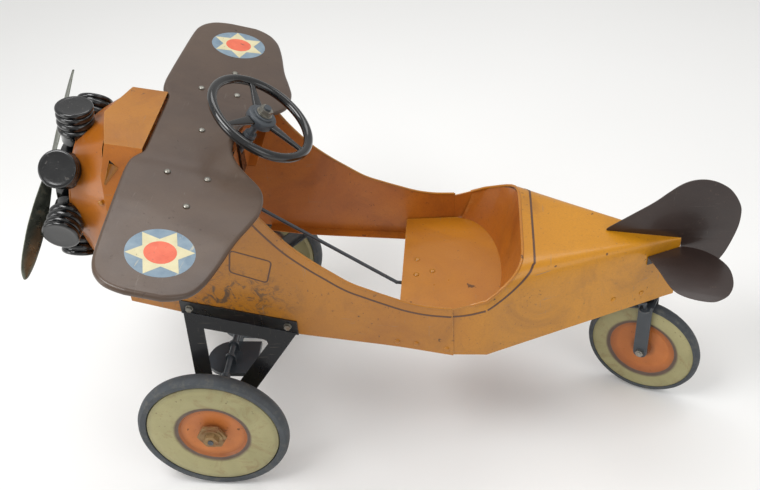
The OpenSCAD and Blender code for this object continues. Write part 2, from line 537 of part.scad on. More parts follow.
// ---------- tail wheel ----------
module fork() { translate([fork_x, 0, 0]) rotate([0, 0, -steer_now]) children(); }
module tail_fork() {
  fr() fork() color(dark) difference() {
    union() {
      translate([0, 0, lug_z - 3]) linear_extrude(height = 3) union() {
        translate([-13, -20.5]) square([26, 41]);
        translate([-9, -lug]) square([18, 20]);
        translate([0, -lug]) circle(r = 9);
      }
      for (s = [-1, 1]) translate([-12, s > 0 ? 17.5 : -20.5, tail_r]) cube([24, 3, lug_z - tail_r - 1]);
      for (s = [-1, 1]) translate([0, s > 0 ? 17.5 : -20.5, tail_r]) rotate([-90, 0, 0]) cylinder(r = 12, h = 3);
    }
    ybar(0, tail_r, -30, 30, 4);
    translate([0, 0, 190]) cylinder(d = 10, h = 40);
    translate([0, 0, 190]) linear_extrude(height = 40) union() {
      for (r = [24.2, lug + 0.3]) translate([0, -r]) circle(d = 7.6);
      translate([-3.8, -lug - 0.3]) square([7.6, lug - 23.9]);
    }
  }
}
module king_pin() {
  fr() fork() color("gray") {
    translate([0, 0, lug_z - 7]) cylinder(d = 18, h = 4);
    translate([0, 0, lug_z - 6]) cylinder(d = 10, h = 66);
    translate([0, 0, lug_z + 56.4]) hexhead(15, 6);
  }
}
module tail_bracket() {
  fr() color(gloss) difference() {
    union() {
      for (z = [231, 262]) translate([0, 0, z]) linear_extrude(height = 3) polygon([[692, -38.4], [756, -7.9], [756, 7.9], [692, 38.4]]);
      translate([692, -37, 231]) cube([3, 74, 34]);
      translate([fork_x, 0, 210.2]) cylinder(d = 18, h = 55);
    }
    translate([fork_x, 0, 200]) cylinder(d = 10.1, h = 80);
  }
}
module tail_axle() {
  fr() fork() color("silver") {
    ybar(0, tail_r, -27, 27, 4);
    for (s = [-1, 1]) translate([0, s * 20.5, tail_r]) rotate([s * -90, 0, 0]) hexhead(13, 5);
  }
}
tail_pts = [[0, 14], [14, 14], [16, 5], [46, 4], [52, 7], [57, 8], [60, 10], [74, 11.5], [86, 10.5], [91, 8], [91, -8], [86, -10.5], [82, -11.4], [82, -9.2],
  [85.6, -8.2], [88.5, -6.5], [88.5, 6.5], [85.6, 8.2], [74, 8.9], [60, 7.5], [57, 5.5], [52, 4.5], [46, 1.5], [15, 1.5], [14, -14], [0, -14]];
module tail_wheel() {
  fr() fork() color(cream) difference() {
    translate([0, 0, tail_r]) rotate([90, 0, 0]) rotate_extrude($fn = 72) polygon(tail_pts);
    ybar(0, tail_r, -30, 30, 4.05);
  }
}
module tail_tyre() { fr() fork() translate([0, 0, tail_r]) tyre(91, tail_r, 10.5); }

side_panel_left();
side_panel_right();
nose_cowl();
engine_hood();
hood_vents();
crankcase();
cylinder_1();
cylinder_2();
cylinder_3();
cylinder_4();
cylinder_5();
cylinder_6();
cylinder_7();
propeller_bearing();
wing();
wing_bolts();
dash_panel();
column_bracket();
column_crossbar();
seat_pan();
seat_back();
seat_bolts();
seat_crossbar();
tail_shell();
body_bolts();
fin();
stabilizer_left();
stabilizer_right();
gear_frame_left();
gear_frame_right();
axle_bush_left();
axle_bush_right();
gear_bolts();
tail_bracket();
propeller();
propeller_spindle();
propeller_nut();
steering_wheel();
steering_nut();
steering_column();
column_arm();
steering_rod();
tail_fork();
king_pin();
tail_axle();
tail_wheel();
tail_tyre();
crank_axle();
front_wheel_left();
front_tyre_left();
hub_washer_left();
axle_nut_left();
front_wheel_right();
front_tyre_right();
hub_washer_right();
axle_nut_right();
pedal_left();
pedal_right();
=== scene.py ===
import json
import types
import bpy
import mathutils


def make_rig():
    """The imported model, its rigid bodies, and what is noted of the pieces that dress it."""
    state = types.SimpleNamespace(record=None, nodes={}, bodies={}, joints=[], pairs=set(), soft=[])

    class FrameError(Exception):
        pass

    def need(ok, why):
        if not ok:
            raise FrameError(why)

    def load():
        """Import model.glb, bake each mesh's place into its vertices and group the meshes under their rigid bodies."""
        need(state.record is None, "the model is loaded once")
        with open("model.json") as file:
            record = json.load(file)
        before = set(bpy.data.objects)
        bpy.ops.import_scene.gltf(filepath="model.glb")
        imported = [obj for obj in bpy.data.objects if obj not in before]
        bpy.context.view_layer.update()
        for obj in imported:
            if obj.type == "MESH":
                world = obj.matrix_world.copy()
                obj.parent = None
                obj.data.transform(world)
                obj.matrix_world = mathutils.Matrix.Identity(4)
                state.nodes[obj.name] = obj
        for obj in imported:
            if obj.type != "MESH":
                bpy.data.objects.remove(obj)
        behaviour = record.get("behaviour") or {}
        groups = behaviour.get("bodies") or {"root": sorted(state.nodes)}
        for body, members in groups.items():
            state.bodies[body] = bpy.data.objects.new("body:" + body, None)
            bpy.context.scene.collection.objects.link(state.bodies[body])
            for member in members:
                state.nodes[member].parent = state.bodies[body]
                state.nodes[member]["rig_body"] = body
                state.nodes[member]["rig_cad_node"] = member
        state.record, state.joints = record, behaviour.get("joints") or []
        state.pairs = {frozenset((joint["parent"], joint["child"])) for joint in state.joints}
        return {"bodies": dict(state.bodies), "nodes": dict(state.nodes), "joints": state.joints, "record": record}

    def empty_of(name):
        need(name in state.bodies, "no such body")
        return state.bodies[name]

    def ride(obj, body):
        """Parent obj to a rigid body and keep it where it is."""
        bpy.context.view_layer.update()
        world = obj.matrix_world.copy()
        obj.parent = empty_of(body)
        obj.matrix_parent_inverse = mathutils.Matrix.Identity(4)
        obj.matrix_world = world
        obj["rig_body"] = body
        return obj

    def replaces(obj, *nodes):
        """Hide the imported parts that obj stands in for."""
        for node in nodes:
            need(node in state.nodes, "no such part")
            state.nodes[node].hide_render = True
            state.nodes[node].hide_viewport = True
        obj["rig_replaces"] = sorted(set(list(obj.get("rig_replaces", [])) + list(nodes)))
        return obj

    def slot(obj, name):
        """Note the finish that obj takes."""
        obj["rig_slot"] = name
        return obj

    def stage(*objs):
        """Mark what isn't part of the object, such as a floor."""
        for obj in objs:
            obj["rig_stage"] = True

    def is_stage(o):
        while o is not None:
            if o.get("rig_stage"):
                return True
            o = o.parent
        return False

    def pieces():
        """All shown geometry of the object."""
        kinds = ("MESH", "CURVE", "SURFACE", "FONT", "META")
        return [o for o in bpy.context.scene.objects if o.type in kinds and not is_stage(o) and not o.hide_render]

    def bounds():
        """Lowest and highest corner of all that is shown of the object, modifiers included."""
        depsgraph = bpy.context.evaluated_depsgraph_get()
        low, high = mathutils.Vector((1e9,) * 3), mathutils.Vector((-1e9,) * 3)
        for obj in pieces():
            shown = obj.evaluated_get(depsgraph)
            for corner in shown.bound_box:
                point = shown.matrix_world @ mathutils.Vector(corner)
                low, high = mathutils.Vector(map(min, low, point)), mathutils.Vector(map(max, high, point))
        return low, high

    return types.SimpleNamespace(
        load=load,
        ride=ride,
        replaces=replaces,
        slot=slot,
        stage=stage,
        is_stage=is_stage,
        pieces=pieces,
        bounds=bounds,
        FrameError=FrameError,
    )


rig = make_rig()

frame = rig.load()

import json
import math
import bpy
import bmesh
import numpy as np
from mathutils import Matrix, Vector, noise
from mathutils.geometry import tessellate_polygon

lo0, hi0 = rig.bounds()
MX = 289.46          # mm from the front axle to the frame's origin
SH = 1.2             # sheet thickness, mm
rad = math.radians

# ------------------------------------------------------------------ helpers


def make(name, V, F, mats, body, slot=None, smooth=True, split=40, fmat=None, recalc=True, replaces=(), bevel=0.0):
    """Mesh piece from points in mm, front axle frame."""
    W = (np.asarray(V, float) - [MX, 0, 0]) / 1000.0
    me = bpy.data.meshes.new(name)
    me.from_pydata([tuple(v) for v in W], [], [tuple(f) for f in F])
    if not isinstance(mats, (list, tuple)):
        mats = [mats]
    for m in mats:
        me.materials.append(m)
    if fmat is not None:
        me.polygons.foreach_set("material_index", fmat)
    bm = bmesh.new()
    bm.from_mesh(me)
    bmesh.ops.remove_doubles(bm, verts=bm.verts, dist=1e-6)
    if recalc:
        bmesh.ops.recalc_face_normals(bm, faces=bm.faces)
    bm.to_mesh(me)
    bm.free()
    me.polygons.foreach_set("use_smooth", [smooth] * len(me.polygons))
    me.update()
    ob = bpy.data.objects.new(name, me)
    bpy.context.scene.collection.objects.link(ob)
    if bevel:
        b = ob.modifiers.new("bevel", "BEVEL")
        b.width = bevel / 1000
        b.segments = 2
        b.limit_method = "ANGLE"
        b.angle_limit = rad(40)
    if smooth and split:
        e = ob.modifiers.new("split", "EDGE_SPLIT")
        e.split_angle = rad(split)
    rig.ride(ob, body)
    if slot:
        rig.slot(ob, slot)
    if replaces:
        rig.replaces(ob, *replaces)
    return ob


def grid(rows, wrap_i=False, wrap_j=False, base=0):
    """points and quads of a grid of points."""
    n, m = len(rows), len(rows[0])
    V = [p for r in rows for p in r]
    F = []
    for i in range(n if wrap_i else n - 1):
        for j in range(m if wrap_j else m - 1):
            a, b = i * m + j, i * m + (j + 1) % m
            c, d = ((i + 1) % n) * m + (j + 1) % m, ((i + 1) % n) * m + j
            F.append((base + a, base + b, base + c, base + d))
    return V, F


def revolve(profile, centre, axis, n=96, closed=True):
    """closed profile of (radius, distance along axis) turned about an axis."""
    A = np.array(axis, float)
    A /= np.linalg.norm(A)
    h = np.array([0, 0, 1.0]) if abs(A[2]) < 0.9 else np.array([1.0, 0, 0])
    E1 = np.cross(A, h)
    E1 /= np.linalg.norm(E1)
    E2 = np.cross(A, E1)
    C = np.array(centre, float)
    rows = []
    for k in range(n):
        t = 2 * math.pi * k / n
        d = math.cos(t) * E1 + math.sin(t) * E2
        rows.append([C + r * d + z * A for r, z in profile])
    return grid(rows, wrap_i=True, wrap_j=closed)


def tube(path, r, n=12, closed=False, caps=True):
    """round bar along a path, mm."""
    P = [np.array(p, float) for p in path]
    rows = []
    up = np.array([0, 0, 1.0])
    prev = None
    L = len(P)
    for i, p in enumerate(P):
        a = P[(i - 1) % L] if (closed or i > 0) else p
        b = P[(i + 1) % L] if (closed or i < L - 1) else p
        t = b - a
        t /= np.linalg.norm(t)
        if prev is None:
            u = np.cross(t, up)
            if np.linalg.norm(u) < 1e-3:
                u = np.cross(t, [1.0, 0, 0])
        else:
            u = prev - t * np.dot(prev, t)
        u /= np.linalg.norm(u)
        prev = u
        v = np.cross(t, u)
        rr = r[i] if isinstance(r, (list, tuple)) else r
        rows.append([p + rr * (math.cos(2 * math.pi * k / n) * u + math.sin(2 * math.pi * k / n) * v) for k in range(n)])
    V, F = grid(rows, wrap_i=closed, wrap_j=True)
    if caps and not closed:
        F.append(tuple(range(n)))
        F.append(tuple(reversed(range((L - 1) * n, L * n))))
    return V, F


def catmull(P, sub=8, closed=False):
    P = [np.array(p, float) for p in P]
    out = []
    n = len(P)
    for i in range(n if closed else n - 1):
        p1, p2 = P[i], P[(i + 1) % n]
        p0 = P[(i - 1) % n] if (closed or i > 0) else 2 * p1 - p2
        p3 = P[(i + 2) % n] if (closed or i < n - 2) else 2 * p2 - p1
        for k in range(sub):
            t = k / sub
            out.append(0.5 * ((2 * p1) + (-p0 + p2) * t + (2 * p0 - 5 * p1 + 4 * p2 - p3) * t * t + (-p0 + 3 * p1 - 3 * p2 + p3) * t ** 3))
    if not closed:
        out.append(P[-1])
    return out


def smooth_lookup(tab):
    """monotone cubic through a table of (x, y)."""
    X = np.array([t[0] for t in tab], float)
    Y = np.array([t[1] for t in tab], float)
    h = np.diff(X)
    d = np.diff(Y) / h
    m = np.zeros(len(X))
    m[0], m[-1] = d[0], d[-1]
    for i in range(1, len(X) - 1):
        if d[i - 1] * d[i] <= 0:
            m[i] = 0
        else:
            w1, w2 = 2 * h[i] + h[i - 1], h[i] + 2 * h[i - 1]
            m[i] = (w1 + w2) / (w1 / d[i - 1] + w2 / d[i])

    def f(x):
        x = min(max(x, X[0]), X[-1])
        i = min(int(np.searchsorted(X, x, side="right") - 1), len(X) - 2)
        t = (x - X[i]) / h[i]
        return ((2 * t ** 3 - 3 * t * t + 1) * Y[i] + (t ** 3 - 2 * t * t + t) * h[i] * m[i]
                + (-2 * t ** 3 + 3 * t * t) * Y[i + 1] + (t ** 3 - t * t) * h[i] * m[i + 1])
    return f


def dent(p, size=90.0, amount=0.5, seed=0.0):
    """gentle unevenness of old sheet steel, mm."""
    return amount * noise.noise(Vector((p[0] / size + seed, p[1] / size - seed, p[2] / size + 2 * seed)))


# ------------------------------------------------------------------ materials


class M:
    def __init__(self, name):
        self.m = bpy.data.materials.new(name)
        self.m.use_nodes = True
        self.nt = self.m.node_tree
        self.nt.nodes.clear()
        self.out = self.nt.nodes.new("ShaderNodeOutputMaterial")
        self.bsdf = self.nt.nodes.new("ShaderNodeBsdfPrincipled")
        self.l(self.bsdf.outputs[0], self.out.inputs[0])
        self.tc = self.nt.nodes.new("ShaderNodeTexCoord")
        self.P = self.tc.outputs["Object"]

    def l(self, a, b):
        self.nt.links.new(a, b)

    def put(self, v, s):
        if hasattr(v, "is_linked") or isinstance(v, bpy.types.NodeSocket):
            self.l(v, s)
        else:
            s.default_value = v

    def map(self, scale=(1, 1, 1), loc=(0, 0, 0), rot=(0, 0, 0)):
        n = self.nt.nodes.new("ShaderNodeMapping")
        self.l(self.P, n.inputs[0])
        n.inputs[1].default_value = loc
        n.inputs[2].default_value = rot
        n.inputs[3].default_value = scale
        return n.outputs[0]

    def noise(self, scale, detail=4, rough=0.55, vec=None, dist=0.0):
        n = self.nt.nodes.new("ShaderNodeTexNoise")
        self.l(vec or self.P, n.inputs["Vector"])
        n.inputs["Scale"].default_value = scale
        n.inputs["Detail"].default_value = detail
        n.inputs["Roughness"].default_value = rough
        n.inputs["Distortion"].default_value = dist
        return n.outputs["Fac"]

    def ramp(self, fac, stops):
        n = self.nt.nodes.new("ShaderNodeValToRGB")
        self.put(fac, n.inputs[0])
        r = n.color_ramp
        while len(r.elements) < len(stops):
            r.elements.new(0.5)
        for e, (p, c) in zip(r.elements, stops):
            e.position = p
            e.color = (c, c, c, 1) if isinstance(c, (int, float)) else (*c, 1)
        return n.outputs[0]

    def math(self, op, a, b=None, clamp=False):
        n = self.nt.nodes.new("ShaderNodeMath")
        n.operation = op
        n.use_clamp = clamp
        self.put(a, n.inputs[0])
        if b is not None:
            self.put(b, n.inputs[1])
        return n.outputs[0]

    def mix(self, fac, a, b, mode="MIX"):
        n = self.nt.nodes.new("ShaderNodeMix")
        n.data_type = "RGBA"
        n.blend_type = mode
        self.put(fac, n.inputs[0])
        for v, s in ((a, n.inputs[6]), (b, n.inputs[7])):
            if isinstance(v, tuple):
                s.default_value = (*v, 1)
            else:
                self.l(v, s)
        return n.outputs[2]

    def sep(self, vec):
        n = self.nt.nodes.new("ShaderNodeSeparateXYZ")
        self.l(vec, n.inputs[0])
        return n.outputs

    def edge(self, radius=0.002):
        """1 along outside edges."""
        b = self.nt.nodes.new("ShaderNodeBevel")
        b.samples = 4
        b.inputs[0].default_value = radius
        g = self.nt.nodes.new("ShaderNodeNewGeometry")
        d = self.nt.nodes.new("ShaderNodeVectorMath")
        d.operation = "DOT_PRODUCT"
        self.l(b.outputs[0], d.inputs[0])
        self.l(g.outputs["Normal"], d.inputs[1])
        return self.math("SUBTRACT", 1.0, d.outputs["Value"], clamp=True)

    def bump(self, h, strength=0.2, dist=0.001, normal=None):
        n = self.nt.nodes.new("ShaderNodeBump")
        n.inputs["Strength"].default_value = strength
        n.inputs["Distance"].default_value = dist
        self.put(h, n.inputs["Height"])
        if normal is not None:
            self.l(normal, n.inputs["Normal"])
        return n.outputs[0]

    def done(self, color=None, rough=None, normal=None, metal=None, **fixed):
        b = self.bsdf
        if color is not None:
            self.put((*color, 1) if isinstance(color, tuple) else color, b.inputs["Base Color"])
        if rough is not None:
            self.put(rough, b.inputs["Roughness"])
        if metal is not None:
            self.put(metal, b.inputs["Metallic"])
        if normal is not None:
            self.l(normal, b.inputs["Normal"])
        for k, v in fixed.items():
            b.inputs[k.replace("_", " ")].default_value = v
        return self.m


def lin(r, g, b):
    f = lambda c: (c / 255 / 12.92) if c / 255 <= 0.04045 else ((c / 255 + 0.055) / 1.055) ** 2.4
    return (f(r), f(g), f(b))


def wear(m, base, chip=0.5, scratch=0.4, edge_col=None, edge_amt=0.6, chip_col=lin(96, 62, 40), metal_col=lin(120, 112, 100), seed=0.0, edge_r=0.0018):
    """adds chips, scratches, lighter edges (worn edges; with the brown wing paint also a painted highlight along the
    edge); returns colour, mask of bare places
    """
    v = m.map(loc=(seed, seed * 0.7, -seed))
    patch = m.ramp(m.noise(9, 3, 0.6, v), [(0.48, 0.0), (0.66, 1.0)])
    spots = m.ramp(m.noise(170, 5, 0.62, v), [(0.665 - 0.03 * chip, 0.0), (0.69 - 0.03 * chip, 1.0)])
    spots = m.math("MULTIPLY", spots, m.math("ADD", m.math("MULTIPLY", patch, 0.75), 0.25), clamp=True)
    big = m.ramp(m.noise(34, 6, 0.68, v, 0.4), [(0.70 - 0.035 * chip, 0.0), (0.715 - 0.035 * chip, 1.0)])
    s1 = m.ramp(m.noise(1.0, 3, 0.5, m.map((22, 22, 700), (seed, 1, 2), (0.25, 0.3, 0.1))), [(0.69, 0.0), (0.705, 1.0)])
    s2 = m.ramp(m.noise(1.0, 3, 0.5, m.map((700, 26, 26), (2, seed, 1), (0.4, 0.15, 0.6))), [(0.695, 0.0), (0.71, 1.0)])
    scr = m.math("MULTIPLY", m.math("MAXIMUM", s1, s2), m.math("MULTIPLY", m.ramp(m.noise(14, 2, 0.5, v), [(0.5, 0.0), (0.62, 1.0)]), scratch))
    # lighter edges: worn paint, and where edge_col is pale, as on the brown wing, a painted highlight too
    e = m.ramp(m.edge(edge_r), [(0.02, 0.0), (0.16, 1.0)])
    en = m.ramp(m.noise(60, 4, 0.7, v), [(0.40, 0.0), (0.62, 1.0)])
    em = m.math("MULTIPLY", m.math("MULTIPLY", e, en), edge_amt)
    mask = m.math("MAXIMUM", spots, big)
    rustc = m.mix(m.ramp(m.noise(120, 4, 0.7, v), [(0.35, 0.0), (0.65, 1.0)]), chip_col, tuple(c * 0.42 for c in chip_col))
    col = m.mix(m.math("MULTIPLY", mask, 0.85), base, rustc)
    col = m.mix(scr, col, metal_col)
    col = m.mix(em, col, edge_col or metal_col)
    return col, mask, em


def paint(name, base, alt, deep, rough=0.36, chip=0.5, scratch=0.4, edge_col=None, edge_amt=0.6, chip_col=lin(96, 62, 40), seed=0.0,
          tone=5.0, dirt=0.5, painted_light_ramp=None, coat=0.15, wave=0.5, scuff=None):
    m = M(name)
    v = m.map(loc=(seed, seed, seed))
    c = m.mix(m.ramp(m.noise(tone, 5, 0.6, v, 0.5), [(0.34, 0.0), (0.68, 1.0)]), base, alt)
    # painted light: colour ramped along one axis towards a brighter colour
    if painted_light_ramp:
        axis, a, b, colour, amt = painted_light_ramp
        x = m.sep(m.P)[axis]
        g = m.nt.nodes.new("ShaderNodeMapRange")
        m.l(x, g.inputs[0])
        g.inputs[1].default_value, g.inputs[2].default_value = a, b
        g.inputs[3].default_value, g.inputs[4].default_value = 0.0, amt
        c = m.mix(g.outputs[0], c, colour)
    d = m.ramp(m.noise(2.6, 6, 0.7, m.map((3, 3, 3), (seed + 3, 1, seed)), 0.8), [(0.5, 0.0), (0.78, 1.0)])
    c = m.mix(m.math("MULTIPLY", d, dirt), c, deep)
    c = m.mix(m.math("MULTIPLY", m.ramp(m.noise(330, 3, 0.6, v), [(0.4, 0.0), (0.7, 1.0)]), 0.18 * dirt + 0.05), c, deep)
    if scuff:
        xyz = m.sep(m.P)
        px = m.math("MULTIPLY", m.math("SUBTRACT", xyz[0], scuff[0]), 1 / scuff[2])
        pz = m.math("MULTIPLY", m.math("SUBTRACT", xyz[2], scuff[1]), 1 / scuff[3])
        dd = m.math("ADD", m.math("MULTIPLY", px, px), m.math("MULTIPLY", pz, pz))
        sm = m.math("SUBTRACT", 1.0, dd, clamp=True)
        blot = m.ramp(m.noise(48, 6, 0.72, v, 1.2), [(0.50, 0.0), (0.58, 1.0)])
        c = m.mix(m.math("MULTIPLY", m.math("MULTIPLY", sm, blot), 0.9), c, lin(74, 58, 44))
        cr = m.ramp(m.noise(1.0, 6, 0.7, m.map((60, 60, 260), (seed, 2, 1), (0.3, 0.9, 0.4)), 2.0), [(0.53, 0.0), (0.545, 1.0), (0.56, 0.0)])
        c = m.mix(m.math("MULTIPLY", m.math("MULTIPLY", m.math("POWER", sm, 0.5), cr), 0.8), c, lin(60, 46, 36))
    col, mask, em = wear(m, c, chip, scratch, edge_col, edge_amt, chip_col, seed=seed)
    r = m.math("ADD", m.math("MULTIPLY", m.noise(26, 5, 0.65, v), 0.26), rough - 0.13)
    r = m.math("ADD", r, m.math("MULTIPLY", mask, 0.35), clamp=True)
    big = m.bump(m.noise(11, 2, 0.4, v), wave, 0.004)
    fine = m.bump(m.noise(420, 3, 0.5, v), 0.06, 0.0006, big)
    n = m.bump(m.math("SUBTRACT", 1.0, mask), 0.5, 0.00025, fine)
    return m.done(col, r, n, Coat_Weight=coat, Coat_Roughness=0.08)


ORANGE, ORANGE2 = lin(172, 112, 22), lin(156, 96, 18)
# painted light: brighter, more golden towards the tail (X from 289 to 589 mm), standing in for the lit tail deck
body_paint = paint("body_paint", ORANGE, ORANGE2, lin(104, 62, 30), rough=0.34, chip=1.0, scratch=0.8, edge_col=lin(208, 164, 90), edge_amt=0.55,
                   chip_col=lin(92, 70, 52), seed=1.3, dirt=0.5, scuff=(-0.25, 0.335, 0.13, 0.075), painted_light_ramp=(0, 0.0, 0.30, lin(204, 138, 16), 0.85))
inner_paint = paint("inner_paint", lin(186, 110, 30), lin(162, 88, 24), lin(98, 52, 22), rough=0.42, chip=0.7, scratch=0.5, edge_col=lin(190, 140, 80), edge_amt=0.4,
                    chip_col=lin(78, 52, 38), seed=4.1, dirt=0.55)
seat_paint = paint("seat_paint", lin(184, 118, 20), lin(168, 102, 18), lin(136, 82, 30), rough=0.34, chip=0.6, scratch=0.8, edge_col=lin(228, 178, 90), edge_amt=0.6,
                   chip_col=lin(98, 68, 44), seed=7.7, dirt=0.4)
cowl_paint = paint("cowl_paint", lin(174, 102, 20), lin(150, 82, 18), lin(120, 66, 26), rough=0.34, chip=0.6, scratch=0.5, edge_col=lin(205, 160, 90), edge_amt=0.5,
                   chip_col=lin(86, 60, 44), seed=2.2, dirt=0.5)
# pale edge colour at 0.85: worn edges and a painted highlight along the wing's rolled edge
brown_paint = paint("brown_paint", lin(86, 68, 54), lin(70, 54, 44), lin(54, 42, 36), rough=0.36, chip=0.45, scratch=0.35, edge_col=lin(176, 162, 146), edge_amt=0.85,
                    chip_col=lin(60, 44, 36), seed=3.4, dirt=0.4, wave=0.35)
fin_paint = paint("fin_paint", lin(54, 40, 35), lin(44, 33, 30), lin(28, 21, 20), rough=0.4, chip=0.5, scratch=0.35, edge_col=lin(120, 104, 94), edge_amt=0.5,
                  chip_col=lin(104, 84, 70), seed=5.4, dirt=0.35)
black_paint = paint("black_paint", lin(9, 10, 12), lin(13, 14, 16), lin(5, 5, 6), rough=0.20, chip=0.35, scratch=0.4, edge_col=lin(70, 72, 76), edge_amt=0.18,
                    chip_col=lin(78, 70, 62), seed=6.1, dirt=0.3, coat=0.5, wave=0.2)
gear_paint = paint("gear_paint", lin(14, 15, 18), lin(20, 21, 25), lin(8, 8, 9), rough=0.3, chip=0.5, scratch=0.5, edge_col=lin(110, 114, 120), edge_amt=0.35,
                   chip_col=lin(84, 72, 60), seed=8.3, dirt=0.35, coat=0.3, wave=0.2)
grey_paint = paint("grey_paint", lin(66, 72, 78), lin(54, 60, 66), lin(38, 40, 42), rough=0.42, chip=0.6, scratch=0.5, edge_col=lin(140, 142, 140), edge_amt=0.5,
                   chip_col=lin(84, 66, 50), seed=9.2, dirt=0.4, wave=0.2)
stripe_paint = paint("stripe_paint", lin(92, 58, 34), lin(78, 50, 34), lin(60, 40, 30), rough=0.45, chip=0.8, scratch=0.3, edge_col=lin(150, 100, 50), edge_amt=0.0,
                     chip_col=lin(170, 112, 48), seed=2.9, dirt=0.5, wave=0.1)


def steel(name, base, dark, rust, amount=0.4, rough=0.38, metal=0.9, seed=0.0, brushed=None):
    m = M(name)
    v = m.map(loc=(seed, seed, seed))
    c = m.mix(m.ramp(m.noise(30, 6, 0.65, v), [(0.35, 0.0), (0.7, 1.0)]), base, dark)
    if brushed:
        s = m.ramp(m.noise(1.0, 4, 0.6, m.map(brushed)), [(0.3, 0.0), (0.7, 1.0)])
        c = m.mix(m.math("MULTIPLY", s, 0.45), c, dark)
    k = m.ramp(m.noise(55, 6, 0.7, v, 0.6), [(0.62 - 0.22 * amount, 0.0), (0.76 - 0.2 * amount, 1.0)])
    c = m.mix(m.math("MULTIPLY", k, 0.9), c, m.mix(m.noise(160, 3, 0.6, v), rust, tuple(x * 0.4 for x in rust)))
    r = m.math("ADD", m.math("MULTIPLY", m.noise(80, 4, 0.6, v), 0.3), m.math("ADD", m.math("MULTIPLY", k, 0.3), rough - 0.15), clamp=True)
    mt = m.math("MULTIPLY", m.math("SUBTRACT", 1.0, m.math("MULTIPLY", k, 0.9)), metal)
    n = m.bump(m.math("ADD", m.noise(300, 4, 0.6, v), m.math("MULTIPLY", k, 0.6)), 0.25, 0.0005)
    return m.done(c, r, n, mt)


worn_steel = steel("worn_steel", lin(150, 152, 146), lin(104, 106, 100), lin(110, 84, 58), 0.3, 0.34, 0.95, 1.1)
prop_steel = steel("prop_steel", lin(142, 146, 132), lin(96, 100, 90), lin(96, 78, 56), 0.25, 0.30, 0.85, 2.7, brushed=(14, 14, 420))
zinc_steel = steel("zinc_steel", lin(168, 166, 158), lin(120, 118, 110), lin(120, 90, 60), 0.3, 0.34, 0.9, 3.6)
rust_steel = steel("rust_steel", lin(158, 130, 88), lin(120, 92, 58), lin(140, 92, 54), 0.55, 0.55, 0.35, 5.2)
brass = steel("brass", lin(190, 150, 80), lin(140, 104, 52), lin(96, 66, 40), 0.25, 0.32, 0.95, 6.2)


def wheel_mat(name, centre, axis, seed, r1=57.5, r2=63.5):
    """cream disc with a dark ring and an orange middle, with painted shade at the dish's edge and next to the tyre, by
    distance from the axle, mm
    """
    m = M(name)
    C = Vector(((centre[0] - MX) / 1000, centre[1] / 1000, centre[2] / 1000))
    A = Vector(axis).normalized()
    sub = m.nt.nodes.new("ShaderNodeVectorMath")
    sub.operation = "SUBTRACT"
    m.l(m.P, sub.inputs[0])
    sub.inputs[1].default_value = C
    cr = m.nt.nodes.new("ShaderNodeVectorMath")
    cr.operation = "CROSS_PRODUCT"
    m.l(sub.outputs[0], cr.inputs[0])
    cr.inputs[1].default_value = A
    ln = m.nt.nodes.new("ShaderNodeVectorMath")
    ln.operation = "LENGTH"
    m.l(cr.outputs[0], ln.inputs[0])
    rr = m.math("MULTIPLY", ln.outputs["Value"], 1000.0)
    v = m.map(loc=(seed, seed, seed))
    wob = m.math("ADD", rr, m.math("MULTIPLY", m.math("SUBTRACT", m.noise(40, 3, 0.6, v), 0.5), 2.2))
    cream = m.mix(m.ramp(m.noise(9, 6, 0.65, v, 0.6), [(0.3, 0.0), (0.7, 1.0)]), lin(168, 160, 116), lin(146, 140, 98))
    cream = m.mix(m.math("MULTIPLY", m.ramp(m.noise(24, 6, 0.75, v, 0.8), [(0.52, 0.0), (0.72, 1.0)]), 0.75), cream, lin(130, 104, 62))
    orange = m.mix(m.ramp(m.noise(14, 5, 0.6, v), [(0.3, 0.0), (0.7, 1.0)]), lin(196, 118, 56), lin(174, 98, 44))
    ring = m.mix(m.noise(60, 4, 0.6, v), lin(104, 84, 72), lin(76, 60, 52))
    c = m.mix(m.ramp(m.math("DIVIDE", wob, 127.0), [(0.0, 0.0), ((r1 - 0.6) / 127, 0.0), ((r1 + 0.6) / 127, 1.0)]), orange, ring)
    c = m.mix(m.ramp(m.math("DIVIDE", wob, 127.0), [((r2 - 1.0) / 127, 0.0), ((r2 + 3.2) / 127, 1.0)]), c, cream)
    hubshade = m.ramp(m.math("DIVIDE", rr, 127.0), [((r1 - 12) / 127, 0.0), ((r1 - 1) / 127, 1.0), ((r1 + 0.5) / 127, 0.0)])
    c = m.mix(m.math("MULTIPLY", hubshade, 0.55), c, lin(120, 66, 34))
    # painted shade: a blotchy darker band at r 101–111 mm, next to the tyre
    tyre_edge_shade = m.ramp(m.math("DIVIDE", rr, 127.0), [(0.80, 0.0), (0.875, 1.0)])
    c = m.mix(m.math("MULTIPLY", tyre_edge_shade, m.math("MULTIPLY", m.noise(30, 4, 0.7, v), 0.75)), c, lin(92, 88, 66))
    rustring = m.ramp(m.math("DIVIDE", rr, 127.0), [(0.11, 1.0), (0.19, 0.0)])
    c = m.mix(m.math("MULTIPLY", rustring, 0.8), c, lin(110, 66, 36))
    col, mask, em = wear(m, c, 0.75, 0.3, lin(120, 100, 70), 0.4, lin(104, 70, 44), seed=seed)
    r = m.math("ADD", m.math("MULTIPLY", m.noise(30, 5, 0.6, v), 0.25), m.math("ADD", 0.34, m.math("MULTIPLY", mask, 0.3)), clamp=True)
    n = m.bump(m.math("SUBTRACT", 1.0, mask), 0.5, 0.0003, m.bump(m.noise(14, 2, 0.4, v), 0.3, 0.003))
    return m.done(col, r, n)


